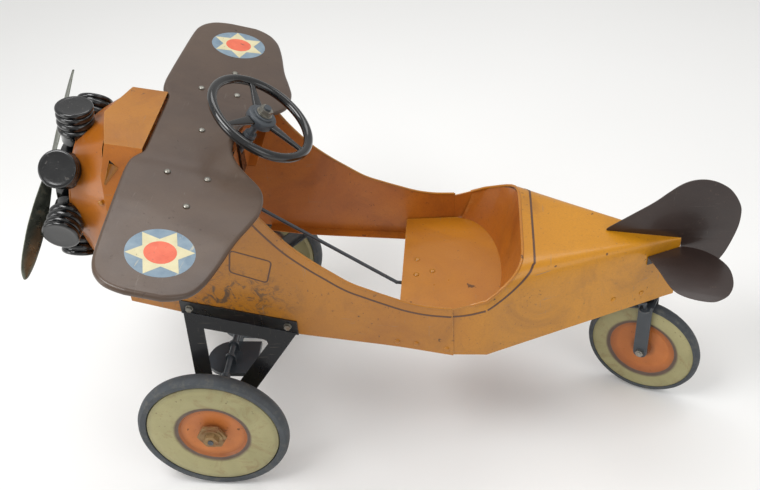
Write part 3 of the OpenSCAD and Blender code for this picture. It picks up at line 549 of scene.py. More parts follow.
def rubber(name, seed):
    m = M(name)
    v = m.map(loc=(seed, seed, seed))
    c = m.mix(m.ramp(m.noise(20, 6, 0.65, v), [(0.3, 0.0), (0.7, 1.0)]), lin(70, 75, 80), lin(56, 60, 64))
    c = m.mix(m.math("MULTIPLY", m.ramp(m.noise(70, 5, 0.7, v), [(0.5, 0.0), (0.7, 1.0)]), 0.5), c, lin(104, 102, 92))
    r = m.math("ADD", m.math("MULTIPLY", m.noise(60, 4, 0.6, v), 0.3), 0.5)
    n = m.bump(m.noise(240, 5, 0.7, v), 0.3, 0.0006, m.bump(m.noise(18, 2, 0.5, v), 0.3, 0.002))
    return m.done(c, r, n)


tyre_mat = rubber("tyre_rubber", 1.7)


def decal(name, base, alt, seed):
    m = M(name)
    v = m.map(loc=(seed, seed, seed))
    c = m.mix(m.ramp(m.noise(40, 6, 0.65, v), [(0.3, 0.0), (0.7, 1.0)]), base, alt)
    col, mask, em = wear(m, c, 0.55, 0.5, base, 0.0, lin(110, 92, 78), metal_col=lin(200, 190, 160), seed=seed)
    r = m.math("ADD", m.math("MULTIPLY", m.noise(60, 4, 0.6, v), 0.25), 0.34)
    n = m.bump(m.noise(300, 3, 0.6, v), 0.1, 0.0004)
    return m.done(col, r, n)


blue_decal = decal("blue_decal", lin(134, 152, 164), lin(104, 126, 144), 1.0)
cream_decal = decal("cream_decal", lin(214, 206, 168), lin(196, 186, 148), 2.0)
red_decal = decal("red_decal", lin(226, 112, 82), lin(206, 92, 66), 3.0)

MAT = {"orange_paint": body_paint, "brown_paint": brown_paint, "black_enamel": black_paint, "grey_paint": grey_paint,
       "tyre_rubber": tyre_mat, "worn_steel": worn_steel, "bearing_brass": brass, "zinc_steel": zinc_steel, "rusty_steel": rust_steel}
slot_of = {s["node"]: s["material_slot"] for s in frame["record"]["subparts"]}
wheel_axis = {"front_wheel_left": ((0, -234.7, 127), (0, 1, 0)), "front_wheel_right": ((0, 234.7, 127), (0, 1, 0)),
              "tail_wheel": ((734, 0, 100.5), (math.sin(rad(24.7)), math.cos(rad(24.7)), 0))}
special = {"nose_cowl": cowl_paint, "engine_hood": cowl_paint, "hood_vents": cowl_paint, "dash_panel": inner_paint, "seat_back": inner_paint, "seat_pan": seat_paint,
           "fin": fin_paint, "stabilizer_left": fin_paint, "stabilizer_right": fin_paint, "propeller": prop_steel,
           "gear_frame_left": gear_paint, "gear_frame_right": gear_paint, "steering_nut": zinc_steel}
for n_, (c_, a_) in wheel_axis.items():
    special[n_] = wheel_mat(n_ + "_paint", c_, a_, {"front_wheel_left": 1.0, "front_wheel_right": 2.0, "tail_wheel": 3.0}[n_])

# every node that stays from the CAD: joined corners, smooth where it is round, and its own material
for name, ob in frame["nodes"].items():
    mat = special.get(name) or MAT[slot_of[name]]
    ob.data.materials.clear()
    ob.data.materials.append(mat)
    ob.data.polygons.foreach_set("use_smooth", [True] * len(ob.data.polygons))
    ob.data.polygons.foreach_set("material_index", [0] * len(ob.data.polygons))
    if ob.data.has_custom_normals:
        bpy.context.view_layer.objects.active = ob
        with bpy.context.temp_override(object=ob, active_object=ob, selected_objects=[ob]):
            try:
                bpy.ops.mesh.customdata_custom_splitnormals_clear()
            except RuntimeError:
                pass
    w = ob.modifiers.new("weld", "WELD")
    w.merge_threshold = 0.00002
    e = ob.modifiers.new("split", "EDGE_SPLIT")
    e.split_angle = rad(32)

# ------------------------------------------------------------------ side panels
SPLAY = math.atan((154 - 128) / 458)


def side_pt(x, z, t, s=-1):
    X, Y = x + 60, -t
    px = -60 + X * math.cos(SPLAY) + Y * math.sin(SPLAY)
    py = -128 - X * math.sin(SPLAY) + Y * math.cos(SPLAY)
    return (px, py if s < 0 else -py, z)


cockpit = [(398, 328), (390, 328.3), (360, 330.4), (330, 336.9), (300, 348), (270, 360.2), (240, 373.8), (210, 395.2), (180, 418.4), (150, 446.3), (120, 484), (100, 515), (86, 542)]
bottom = [(-128, 318), (-60, 301), (0, 286), (60, 274), (135, 260.5), (230, 249.5), (309, 240.5), (398, 226)]
cock_s = catmull(cockpit, 6)
bot_s = catmull(bottom, 6)


def panel_outline():
    pts = [tuple(p) for p in bot_s[:-1]] + [(399.6, 226), (400.2, 250), (400.2, 280), (400.2, 305), (400.0, 327.6)] + [tuple(p) for p in cock_s[1:]]
    pts += [(50, 551.6), (14, 561.2), (-22, 570.9), (-58, 580.5), (-59, 541), (-60, 502), (-83, 502), (-105, 502), (-128, 502), (-128, 440), (-128, 380)]
    return pts


def flat_sheet(outline, place, t0, t1, mats, name, body, slot, holes=(), replaces=(), extra=None, split=35):
    """sheet between two offsets, with holes, from a flat outline"""
    loops = [outline] + [list(h) for h in holes]
    flat2 = [Vector((p[0], p[1], 0)) for lp in loops for p in lp]
    tris = tessellate_polygon([[Vector((p[0], p[1], 0)) for p in lp] for lp in loops])
    n = len(flat2)
    V = [place(p.x, p.y, t1) for p in flat2] + [place(p.x, p.y, t0) for p in flat2]
    F = [tuple(t) for t in tris] + [(c + n, b + n, a + n) for a, b, c in tris]
    fm = [0] * len(tris) + [1] * len(tris)
    k = 0
    for lp in loops:
        L = len(lp)
        for i in range(L):
            a, b = k + i, k + (i + 1) % L
            F.append((a, b, b + n, a + n))
            fm.append(0)
        k += L
    if extra:
        eV, eF, em = extra
        base = len(V)
        V += eV
        F += [tuple(base + i for i in f) for f in eF]
        fm += em
    return make(name, V, F, mats, body, slot, smooth=True, split=split, fmat=[min(x, len(mats) - 1) for x in fm], replaces=replaces)


for s, side in ((-1, "left"), (1, "right")):
    # turned-in bottom flange, one strip
    pts = [p for p in bot_s if p[0] >= 60]
    rows = []
    for x, z in pts:
        rows.append([side_pt(x, z, 0.4, s), side_pt(x, z + 0.2, -18, s), side_pt(x, z + 1.5, -18, s), side_pt(x, z + 1.6, 0.0, s)])
    V, F = grid(rows, wrap_j=True)
    F.append((0, 1, 2, 3))
    F.append(tuple(len(V) - 4 + i for i in (3, 2, 1, 0)))
    flat_sheet(panel_outline(), lambda x, z, t, s=s: side_pt(x, z, t, s), 0, SH, [body_paint, inner_paint], "panel_" + side, "airframe", "orange_paint",
               replaces=["side_panel_" + side], extra=(V, F, [1] * len(F)))
    # rolled bead along the cockpit edge
    V, F = tube([side_pt(p[0], p[1] - 0.6, SH * 0.5, s) for p in cock_s], 1.9, 10)
    make("panel_bead_" + side, V, F, body_paint, "airframe", "orange_paint", split=60)

# ------------------------------------------------------------------ tail shell
TZ, DK = 227.0, 380.0


def t_w(x):
    return 154.0 if x < 453 else max(3.0, 154.0 * (776 - x) / 323)


def t_z(x):
    return DK if x < 509 else DK + (346 - DK) * (x - 509) / 262


def t_sec(a, x, o):
    w, h = t_w(x) - o, t_z(x) - o - TZ
    c, s = math.cos(rad(a)), math.sin(rad(a))
    return (x, -w * math.copysign(abs(c) ** 0.25, c), TZ + h * abs(s) ** 0.25)


rim = smooth_lookup([(328, 398), (332, 420), (341, 450), (350, 467), (358, 480), (367, 493), (374, 502), (380, 509)])


def t_front(a):
    z = TZ + (DK - TZ) * abs(math.sin(rad(a))) ** 0.25
    return 398.0 if z < 328.1 else rim(z)


ang = []
for q in np.linspace(0, 1, 40):
    z = 1 - (1 - q) ** 1.0
    ang.append(z)
# even spacing along the section
fine = [i * 0.005 for i in range(0, 200)] + [1 + i * 0.25 for i in range(0, 357)]
pts = np.array([t_sec(a, 453, 0)[1:] for a in fine if a <= 90])
ds = np.concatenate([[0], np.cumsum(np.linalg.norm(np.diff(pts, axis=0), axis=1))])
fa = [a for a in fine if a <= 90]
half = [float(np.interp(t, ds, fa)) for t in np.linspace(0, ds[-1], 36)]
angs = half + [180 - a for a in reversed(half[:-1])]
XS = np.concatenate([np.linspace(0, 1, 9), 1 + np.linspace(0.05, 1, 26)])


def t_xx(a, s):
    f = t_front(a)
    b = max(453.0, f + 18)
    return f + (b - f) * s if s <= 1 else b + (771 - b) * (s - 1)


def shell_pt(a, s, o):
    x = t_xx(a, s)
    p = t_sec(a, x, o)
    d = dent(p, 70, 0.55, 1.7) * min(1, s * 2) * min(1, (771 - x) / 40)
    return (p[0], p[1] + (d if p[1] > 0 else -d) * 0.6, p[2] + d * 0.6) if o == 0 else (p[0], p[1] + (d if p[1] > 0 else -d) * 0.6, p[2] + d * 0.6)


outer = [[shell_pt(a, s, 0) for a in angs] for s in XS]
inner = [[shell_pt(a, s, SH) for a in angs] for s in XS]
V1, F1 = grid(outer)
V2, F2 = grid(inner, base=len(V1))
n, m_ = len(outer), len(outer[0])
V, F, fm = V1 + V2, F1 + F2, [0] * len(F1) + [1] * len(F2)
N = len(V1)
for j in range(m_ - 1):
    F += [(j, j + 1, N + j + 1, N + j), ((n - 1) * m_ + j, (n - 1) * m_ + j + 1, N + (n - 1) * m_ + j + 1, N + (n - 1) * m_ + j)]
    fm += [0, 0]
for i in range(n - 1):
    F += [(i * m_, (i + 1) * m_, N + (i + 1) * m_, N + i * m_), (i * m_ + m_ - 1, (i + 1) * m_ + m_ - 1, N + (i + 1) * m_ + m_ - 1, N + i * m_ + m_ - 1)]
    fm += [0, 0]
make("tail_body", V, F, [body_paint, inner_paint], "airframe", "orange_paint", fmat=fm, split=50, replaces=["tail_shell"])
# rolled rim behind the seat
rimpath = [t_sec(a, t_front(a) + 1.0, 0.6) for a in angs if TZ + 153 * abs(math.sin(rad(a))) ** 0.25 > 328.3]
V, F = tube(rimpath, 2.4, 12)
make("tail_rim_bead", V, F, seat_paint, "airframe", "orange_paint", split=60)

# ------------------------------------------------------------------ pinstripes


def ribbon(centre_pts, normals, width, lift, name, mat, closed=False):
    """flat painted line lying on a surface"""
    P = [np.array(p, float) for p in centre_pts]
    Nn = [np.array(q, float) / np.linalg.norm(q) for q in normals]
    rows = []
    L = len(P)
    for i in range(L):
        a = P[(i - 1) % L] if (closed or i > 0) else P[i]
        b = P[(i + 1) % L] if (closed or i < L - 1) else P[i]
        t = (b - a) / np.linalg.norm(b - a)
        u = np.cross(Nn[i], t)
        u /= np.linalg.norm(u)
        rows.append([P[i] + u * width / 2 + Nn[i] * lift, P[i] - u * width / 2 + Nn[i] * lift,
                     P[i] - u * width / 2 - Nn[i] * 0.15, P[i] + u * width / 2 - Nn[i] * 0.15])
    V, F = grid(rows, wrap_i=closed, wrap_j=True)
    if not closed:
        F.append((0, 1, 2, 3))
        F.append(tuple(len(V) - 4 + i for i in (3, 2, 1, 0)))
    return make(name, V, F, mat, "airframe", "brown_paint", split=50)


def offset2(P, d):
    P = [np.array(p, float) for p in P]
    out = []
    for i in range(len(P)):
        a, b = P[max(i - 1, 0)], P[min(i + 1, len(P) - 1)]
        t = (b - a) / np.linalg.norm(b - a)
        out.append(P[i] + np.array([t[1], -t[0]]) * d)
    return out


# the near and far side, below the cockpit edge, running on round the tail behind the rim
side_line = [p for p in offset2(list(reversed(cock_s)), 17.5) if p[0] <= 397.6]
side_line.append(np.array([397.8, 310.3]))
for s, side in ((-1, "left"), (1, "right")):
    P = [side_pt(p[0], p[1], SH, s) for p in side_line]
    nrm = np.array(side_pt(100, 300, 10, s)) - np.array(side_pt(100, 300, 0, s))
    ribbon(P, [nrm] * len(P), 3.4, 0.22, "pinstripe_" + side, stripe_paint)
elev = catmull([(399, 310.4), (424, 313.8), (455, 323.6), (474.5, 333.5), (489.5, 342.9), (503.5, 353), (512.7, 360.2), (520.7, 366.8), (525.3, 372.5)], 5)


def tail_angle(x, z):
    h = t_z(x) - TZ
    return math.degrees(math.asin(min(1.0, max(0.0, (z - TZ) / h)) ** 4))


tail_line = [(p[0], tail_angle(p[0], p[1])) for p in elev]
a_end = tail_line[-1][1]
tail_line += [(527 + 1.5 * (1 - abs(90 - a) / 90), a) for a in np.linspace(a_end + 3, 90, 26)]
tail_line += [(x, 180 - a) for x, a in reversed(tail_line[:-1])]


def tail_frame(x, a):
    def q(aa, xx):
        p = t_sec(aa, xx, 0)
        d = dent(p, 70, 0.55, 1.7)
        return np.array((p[0], p[1] + (d if p[1] > 0 else -d) * 0.6, p[2] + d * 0.6))
    p = q(a, x)
    da = 0.05 if a < 10 or a > 170 else 0.6
    nn = np.cross(q(min(a + da, 179.99), x) - q(max(a - da, 0.01), x), q(a, x + 2) - q(a, x - 2 if x > 400 else x))
    c = np.array([x, 0, 300.0])
    if np.dot(nn, p - c) < 0:
        nn = -nn
    return p, nn / np.linalg.norm(nn)


fr_ = [tail_frame(x, a) for x, a in tail_line]
ribbon([f[0] for f in fr_], [f[1] for f in fr_], 3.4, 0.35, "pinstripe_tail", stripe_paint)
# small rounded rectangle on each side panel
corner = [(56, 432), (120, 412), (107, 368), (48.6, 388)]
rr_ = []
for i in range(4):
    p, a, b = np.array(corner[i], float), np.array(corner[i - 1], float), np.array(corner[(i + 1) % 4], float)
    u, v = (a - p) / np.linalg.norm(a - p), (b - p) / np.linalg.norm(b - p)
    for t in np.linspace(0, 1, 7):
        rr_.append(p + u * 7 * (1 - t) ** 2 + v * 7 * t ** 2)
for s, side in ((-1, "left"), (1, "right")):
    P = [side_pt(p[0], p[1], SH, s) for p in rr_]
    ribbon(P, [nrm if s > 0 else np.array([nrm[0], -nrm[1], nrm[2]])] * len(P), 2.6, 0.22, "rectangle_stripe_" + side, stripe_paint, closed=True)

# ------------------------------------------------------------------ wing
WK, HS = 0.0000662, 378.0
le = smooth_lookup([(0, -75), (40, -75.2), (76, -76), (86, -79.5), (97, -87), (110, -90.8), (130, -92), (165, -91), (230, -88), (300, -84.5), (328, -82), (348, -76), (362, -66), (371, -54), (376, -38), (378, -26)])
te = smooth_lookup([(0, 49), (26, 50), (52, 58), (68, 68), (84, 82), (98, 97), (112, 109), (126, 115.5), (146, 118.5), (168, 117.5), (196, 110), (238, 96), (304, 80.5), (340, 69), (358, 58), (368, 46), (374, 34), (378, 22)])
hy = [378 * math.sin(rad(90 * t)) for t in np.linspace(0, 1, 84)]
ys_ = [-y for y in reversed(hy)] + hy[1:]
MJ = 30
ring = [(le(abs(y)), y) for y in ys_]
ring += [(-26 + 48 * k / MJ, 378.0) for k in range(1, MJ)]
ring += [(te(abs(y)), y) for y in reversed(ys_)]
ring += [(22 - 48 * k / MJ, -378.0) for k in range(1, MJ)]
ring = [np.array(p, float) for p in ring]
RN = len(ring)
nrm2 = []
for i in range(RN):
    t = ring[(i + 2) % RN] - ring[(i - 2) % RN]
    t /= np.linalg.norm(t)
    nrm2.append(np.array([t[1], -t[0]]))      # inward for this direction
if np.dot(nrm2[len(ys_) // 2], np.array([1.0, 0])) < 0:
    nrm2 = [-q for q in nrm2]
ct, st = math.cos(rad(15)), math.sin(rad(15))


def wing_local(x, y, dz):
    span = abs(y)
    a, b = le(span), te(span)
    t = (x - a) / max(b - a, 1)
    camber = -3.2 * max(0.0, (t - 0.72) / 0.28) ** 2 * min(1, max(0, (span - 60) / 60)) * min(1, (378 - span) / 30 + 0.2)
    crease = 1.0 * math.exp(-((span - 98) / 9) ** 2)
    z = -WK * y * y + dz + camber * (1 if dz > -7 else 0.3) - crease * 0.5 + dent((x, y, 0), 60, 0.55, 3.1) + dent((x, y, 0), 150, 0.8, 7.3) - 0.4
    return (10.6 + x * ct + z * st, y, 565.4 - x * st + z * ct)


prof = [(5.0, 0.0), (3.4, -0.25), (2.0, -0.9), (0.9, -1.9), (0.25, -3.1), (0.0, -4.6), (0.0, -7.6), (0.35, -8.1), (1.0, -8.2), (1.5, -7.8), (1.5, -4.8), (1.9, -3.2), (3.0, -2.0), (5.0, -1.3)]
rings = [[ring[i] + nrm2[i] * d for i in range(RN)] for d, z in prof]
V, F = [], []
for (d, z), rg in zip(prof, rings):
    V += [wing_local(p[0], p[1], z) for p in rg]
for k in range(len(prof) - 1):
    for i in range(RN):
        j = (i + 1) % RN
        F.append((k * RN + i, k * RN + j, (k + 1) * RN + j, (k + 1) * RN + i))
nY = len(ys_)
for k, z in ((0, 0.0), (len(prof) - 1, -1.3)):
    rg = rings[k]
    base = k * RN
    idx = []
    for i in range(nY):
        A_, B_ = rg[i], rg[nY + MJ - 1 + (nY - 1 - i)]
        row = [base + i]
        for j in range(1, MJ):
            if i == nY - 1:
                row.append(base + nY + j - 1)
            elif i == 0:
                row.append(base + nY + MJ - 1 + nY + (MJ - 1 - j))
            else:
                q = A_ + (B_ - A_) * j / MJ
                V.append(wing_local(q[0], q[1], z))
                row.append(len(V) - 1)
        row.append(base + nY + MJ - 1 + (nY - 1 - i))
        idx.append(row)
    for i in range(nY - 1):
        for j in range(MJ):
            F.append((idx[i][j], idx[i][j + 1], idx[i + 1][j + 1], idx[i + 1][j]))
make("wing_skin", V, F, brown_paint, "airframe", "brown_paint", split=60, replaces=["wing"])

# painted roundels: blue-grey disc, six-pointed cream star, red middle
for s, psi, side in ((-1, 14.8, "left"), (1, 18.2, "right")):
    cx, cy, R_ = 1.46, s * 296.5, 47.64

    def on(r, th, lift):
        x, y = cx + r * math.cos(th), cy + r * math.sin(th)
        return wing_local(x, y, lift)

    for nm, mat, fr0, lift, star in (("disc", blue_decal, R_, 0.14, False), ("star", cream_decal, R_, 0.26, True), ("centre", red_decal, 0.47 * R_, 0.38, False)):
        K = 96
        V = [on(0, 0, lift)]
        F = []
        radii = np.linspace(0.12, 1, 8)
        for q in radii:
            for k in range(K):
                th = 2 * math.pi * k / K
                r = fr0
                if star:
                    ph = (k % 16) / 16
                    ph = min(ph, 1 - ph) * 2          # 0 at a tip, 1 in a notch
                    # straight edge from tip R to notch R/sqrt3, 30 degrees on
                    al = rad(30) * ph
                    r1, r2 = R_ * 0.985, R_ * 0.57
                    r = r1 * r2 * math.sin(rad(30)) / (r1 * math.sin(al) + r2 * math.sin(rad(30) - al))
                V.append(on(r * q, th + rad(psi) * s * -1, lift))
        for k in range(K):
            F.append((0, 1 + k, 1 + (k + 1) % K))
        for i in range(len(radii) - 1):
            for k in range(K):
                a, b = 1 + i * K + k, 1 + i * K + (k + 1) % K
                F.append((a, b, b + K, a + K))
        nb = len(V)
        rimi = [1 + (len(radii) - 1) * K + k for k in range(K)]
        V += [tuple(np.array(V[i]) - np.array((0.26 * 0.3, 0, 0.3))) for i in rimi]
        for k in range(K):
            F.append((rimi[k], rimi[(k + 1) % K], nb + (k + 1) % K, nb + k))
        make("roundel_%s_%s" % (nm, side), V, F, mat, "airframe", "brown_paint", split=60)

# ------------------------------------------------------------------ seat back
def seat_pt(a, s, o):
    c = abs(math.cos(rad(a)))
    z = 330 + 50 * math.sqrt(max(0.0, 1 - c ** 6))
    x = rim(min(z, 380)) if z > 330 else 398.5
    ty = -149.5 * math.cos(rad(a)) * ((775 - x) / 322 if x > 453 else 1)
    top = (x + 0.5, ty * 1.02, min(z, 378.6) - 1.2)
    bot = (405 + 75 * math.sin(rad(a)) - 1, -148 * math.cos(rad(a)), 276.2)
    q = s ** 0.8
    bulge = 3.5 * math.sin(math.pi * s) * math.sin(rad(a))
    return (bot[0] + (top[0] - bot[0]) * q + bulge + o, bot[1] + (top[1] - bot[1]) * s, bot[2] + (top[2] - bot[2]) * s - 0.25 * o)


sa = np.linspace(3, 177, 88)
rowsA = [[seat_pt(a, s, 0) for a in sa] for s in np.linspace(0, 1, 20)]
rowsB = [[seat_pt(a, s, SH) for a in sa] for s in np.linspace(0, 1, 20)]
V1, F1 = grid(rowsA)
V2, F2 = grid(rowsB, base=len(V1))
V, F, N = V1 + V2, F1 + F2, len(V1)
mm, nn_ = len(sa), 20
for j in range(mm - 1):
    F += [(j, j + 1, N + j + 1, N + j), ((nn_ - 1) * mm + j, (nn_ - 1) * mm + j + 1, N + (nn_ - 1) * mm + j + 1, N + (nn_ - 1) * mm + j)]
for i in range(nn_ - 1):
    F += [(i * mm, (i + 1) * mm, N + (i + 1) * mm, N + i * mm), (i * mm + mm - 1, (i + 1) * mm + mm - 1, N + (i + 1) * mm + mm - 1, N + i * mm + mm - 1)]
make("seat_back_sheet", V, F, inner_paint, "airframe", "orange_paint", split=55, replaces=["seat_back"])

# ------------------------------------------------------------------ nose cowl
TILT = rad(8)


def eng(p):
    x, y, z = p
    return (-208 + x * math.cos(TILT) + z * math.sin(TILT), y, 485 - x * math.sin(TILT) + z * math.cos(TILT))


def poly_r(a):
    d = (math.cos(rad(a)), math.sin(rad(a)))
    best = 1e9
    for n, k in (((0, 1), 140), ((0, -1), 138), ((1, 0), 122.4), ((-1, 0), 122.4), ((0.925, 0.38), 131.5), ((-0.925, 0.38), 131.5)):
        q = n[0] * d[0] + n[1] * d[1]
        if q > 0.01:
            best = min(best, k / q)
    return best


def cowl_pt(a, s, off):
    r0 = 84 - off
    g = s ** 0.72
    rb = sum(poly_r(a + t) for t in (-5, -2.5, 0, 2.5, 5)) / 5 * (1 - 0.004) - off
    cx = (-201 + math.sin(TILT) * r0 * math.sin(rad(a)), r0 * math.cos(rad(a)), 485.5 + r0 * math.sin(rad(a)))
    bx = (-126, rb * math.cos(rad(a)), 455 + rb * math.sin(rad(a)))
    d = dent((cx[0] + s * 75, bx[1], bx[2]), 45, 0.8, 5.5) * s * (1 - s) * 3
    return (cx[0] + (bx[0] - cx[0]) * s, (cx[1] + (bx[1] - cx[1]) * g) + d * math.cos(rad(a)), (cx[2] + (bx[2] - cx[2]) * g) + d * math.sin(rad(a)))


KA, KS = 160, 24
prof_c = [(s, 0) for s in np.linspace(0, 1, KS)] + [(s, SH) for s in np.linspace(1, 0, KS)]
rows = [[cowl_pt(k * 360 / KA, s, o) for s, o in prof_c] for k in range(KA)]
V, F = grid(rows, wrap_i=True, wrap_j=True)
make("cowl_sheet", V, F, cowl_paint, "airframe", "orange_paint", split=50, replaces=["nose_cowl"])
# rolled front edge of the cowl
V, F = tube([cowl_pt(k * 4, 0.0, 0.8) for k in range(90)], 2.2, 10, closed=True)
make("cowl_front_bead", V, F, cowl_paint, "airframe", "orange_paint", split=60)

# ------------------------------------------------------------------ engine hood with a slit and a bent-out flap on each side
def hood_top(x):
    return 587.5 - 0.19 * (x + 61)


HR = -64.0
hn = np.array([0.0455, -0.909, 0.4155])
slit = [(-128.6 + 2.2, 0.40), (-115.1, 0.762), (-102.4, 0.653), (-125.1, 0.385)]


def hood_side(x, v, t, s):
    p = np.array([x, -(126 - 42 * v), 503 + (hood_top(x) - 503) * v]) + hn * t
    return (p[0], p[1] * (1 if s < 0 else -1), p[2])


def arc(p, q, k=5):
    return [(p[0] + (q[0] - p[0]) * i / k, p[1] + (q[1] - p[1]) * i / k) for i in range(k)]


side_out = arc((-127, 0), (-131, 0.5)) + arc((-131, 0.5), (-120.5, 1)) + arc((-120.5, 1), (HR, 1), 8) + arc((HR, 1), (HR, 0), 8) + arc((HR, 0), (-127, 0), 8)
for s, side in ((-1, "left"), (1, "right")):
    tip0 = np.array(hood_side(slit[1][0], slit[1][1], 0, -1))
    A_, B_ = np.array(hood_side(slit[2][0], slit[2][1], 0, -1)), np.array(hood_side(slit[3][0], slit[3][1], 0, -1))
    h = (A_ - B_) / np.linalg.norm(A_ - B_)
    rowsF = []
    for q in np.linspace(0, 1, 9):
        row = []
        for f in np.linspace(0, 1, 7):
            base = B_ + (A_ - B_) * f
            edge = np.array(hood_side(slit[0][0] + (slit[1][0] - slit[0][0]) * f, slit[0][1] + (slit[1][1] - slit[0][1]) * f, 0, -1))
            w = edge - base
            ang_ = rad(10 + 34 * q)
            pt = base + w * q * math.cos(ang_) + hn * np.linalg.norm(w) * q * math.sin(ang_)
            row.append(pt)
        rowsF.append(row)
    top = [[p + hn * 1.1 for p in r] for r in rowsF]
    V1, F1 = grid([[tuple(p if s < 0 else p * [1, -1, 1]) for p in r] for r in top])
    V2, F2 = grid([[tuple(p if s < 0 else p * [1, -1, 1]) for p in r] for r in rowsF], base=len(V1))
    V, F, N = V1 + V2, F1 + F2, len(V1)
    for j in range(6):
        F += [(j, j + 1, N + j + 1, N + j), (8 * 7 + j, 8 * 7 + j + 1, N + 8 * 7 + j + 1, N + 8 * 7 + j)]
    for i in range(8):
        F += [(i * 7, (i + 1) * 7, N + (i + 1) * 7, N + i * 7), (i * 7 + 6, (i + 1) * 7 + 6, N + (i + 1) * 7 + 6, N + i * 7 + 6)]
    make("hood_flap_" + side, V, F, body_paint, "airframe", "orange_paint", split=50, replaces=["hood_vents"])
    flat_sheet(side_out, lambda x, v, t, s=s: hood_side(x, v, t - SH, s), 0, SH, [cowl_paint, inner_paint], "hood_side_" + side, "airframe", "orange_paint",
               holes=[slit], replaces=["engine_hood"], split=25)
hx = [-84, -63, -42, -21, 0, 21, 42, 63, 84]
hf = [-120.5, -126.2, -132, -137.5, -143, -137.5, -132, -126.2, -120.5]
rowsA, rowsB = [], []
for y in np.linspace(-84, 84, 45):
    f = float(np.interp(y, hx, hf))
    rA, rB = [], []
    for q in np.linspace(0, 1, 16):
        x = f + (HR - f) * q
        z = hood_top(x) + dent((x, y, 0), 50, 0.7, 9.1) * min(1, (84 - abs(y)) / 15)
        rA.append((x, y, z))
        rB.append((x, y, z - SH))
    rowsA.append(rA)
    rowsB.append(rB)
V1, F1 = grid(rowsA)
V2, F2 = grid(rowsB, base=len(V1))
V, F, N = V1 + V2, F1 + F2, len(V1)
for j in range(15):
    F += [(j, j + 1, N + j + 1, N + j), (44 * 16 + j, 44 * 16 + j + 1, N + 44 * 16 + j + 1, N + 44 * 16 + j)]
for i in range(44):
    F += [(i * 16, (i + 1) * 16, N + (i + 1) * 16, N + i * 16), (i * 16 + 15, (i + 1) * 16 + 15, N + (i + 1) * 16 + 15, N + i * 16 + 15)]
make("hood_top_sheet", V, F, body_paint, "airframe", "orange_paint", split=50, replaces=["engine_hood"])

# ------------------------------------------------------------------ engine cans with rounded ridges
can_prof = [(25.0, 70.0), (25.0, 84.0)]
for z in np.linspace(85, 121.5, 60):
    w = abs(math.cos(math.pi * (z - 91.5) / 13.0))
    can_prof.append((25.6 + 4.3 * w ** 0.55, z))
can_prof += [(26.6, 122.4), (26.6, 123.8), (28.2, 124.6), (29.3, 125.4), (29.9, 126.6), (30.0, 128.0), (29.8, 129.6), (29.1, 130.9), (28.0, 131.7), (26.6, 132.0), (24.0, 131.6), (20.0, 131.3), (10.0, 131.2), (0.01, 131.2)]
for k in range(7):
    f = rad(k * 360 / 7)
    n_seg = 64
    rows = []
    for t in range(n_seg):
        u = 2 * math.pi * t / n_seg
        row = []
        for r_, z_ in can_prof:
            p = (r_ * math.cos(u), r_ * math.sin(u), z_)
            q = (p[0], p[1] * math.cos(f) - p[2] * math.sin(f), p[1] * math.sin(f) + p[2] * math.cos(f))
            row.append(eng(q))
        rows.append(row)
    V, F = grid(rows, wrap_i=True)
    F.append(tuple(t * len(can_prof) for t in range(n_seg)))
    make("can_%d" % (k + 1), V, F, black_paint, "airframe", "black_enamel", split=60, replaces=["cylinder_%d" % (k + 1)])

# ------------------------------------------------------------------ steering wheel
LEAN = rad(36.6)


def col(p):
    x, y, z = p
    return (104.7 + x * math.cos(LEAN) + z * math.sin(LEAN), y, 587.5 - x * math.sin(LEAN) + z * math.cos(LEAN))


rim_path = [col((84.5 * math.cos(2 * math.pi * k / 96), 84.5 * math.sin(2 * math.pi * k / 96), 0)) for k in range(96)]
V, F = tube(rim_path, 7.4, 20, closed=True)
make("wheel_rim", V, F, black_paint, "steering", "black_enamel", split=0, replaces=["steering_wheel"])
for i, a0 in enumerate((113, -17, -127)):
    rows = []
    for q in np.linspace(0, 1, 24):
        r_ = 10 + 72 * q
        w = 9.5 - 5.0 * min(1, q * 1.25) + 1.8 * max(0, (q - 0.86) / 0.14) ** 2
        h = 3.6 - 0.8 * q
        zc = -1.5 + 1.2 * q
        ring_ = []
        for t in range(20):
            u = 2 * math.pi * t / 20
            cu, su = math.cos(u), math.sin(u)
            px = w * math.copysign(abs(cu) ** 0.55, cu)
            pz = zc + h * math.copysign(abs(su) ** 0.55, su)
            x, y = r_ * math.cos(rad(a0)) - px * math.sin(rad(a0)), r_ * math.sin(rad(a0)) + px * math.cos(rad(a0))
            ring_.append(col((x, y, pz)))
        rows.append(ring_)
    V, F = grid(rows, wrap_j=True)
    F += [tuple(range(20)), tuple(reversed(range(23 * 20, 24 * 20)))]
    make("wheel_spoke_%d" % (i + 1), V, F, black_paint, "steering", "black_enamel", split=60, replaces=["steering_wheel"])
hub = [(6.2, 9.8), (15.5, 9.8), (16.6, 9.3), (17.0, 8.2), (17.2, 6.4), (21.5, 5.8), (23.4, 5.0), (24.0, 3.6), (24.0, -6.5), (22.5, -8.6), (6.2, -9.0)]
n_seg = 64
rows = [[col((r_ * math.cos(2 * math.pi * t / n_seg), r_ * math.sin(2 * math.pi * t / n_seg), z_)) for r_, z_ in hub] for t in range(n_seg)]
V, F = grid(rows, wrap_i=True, wrap_j=True)
make("wheel_hub", V, F, grey_paint, "steering", "grey_paint", split=45, replaces=["steering_wheel"])

# ------------------------------------------------------------------ propeller
PT = rad(59)


def propp(p):
    x, y, z = p
    return eng((x - 54.5, y * math.cos(PT) + z * math.sin(PT), -y * math.sin(PT) + z * math.cos(PT)))


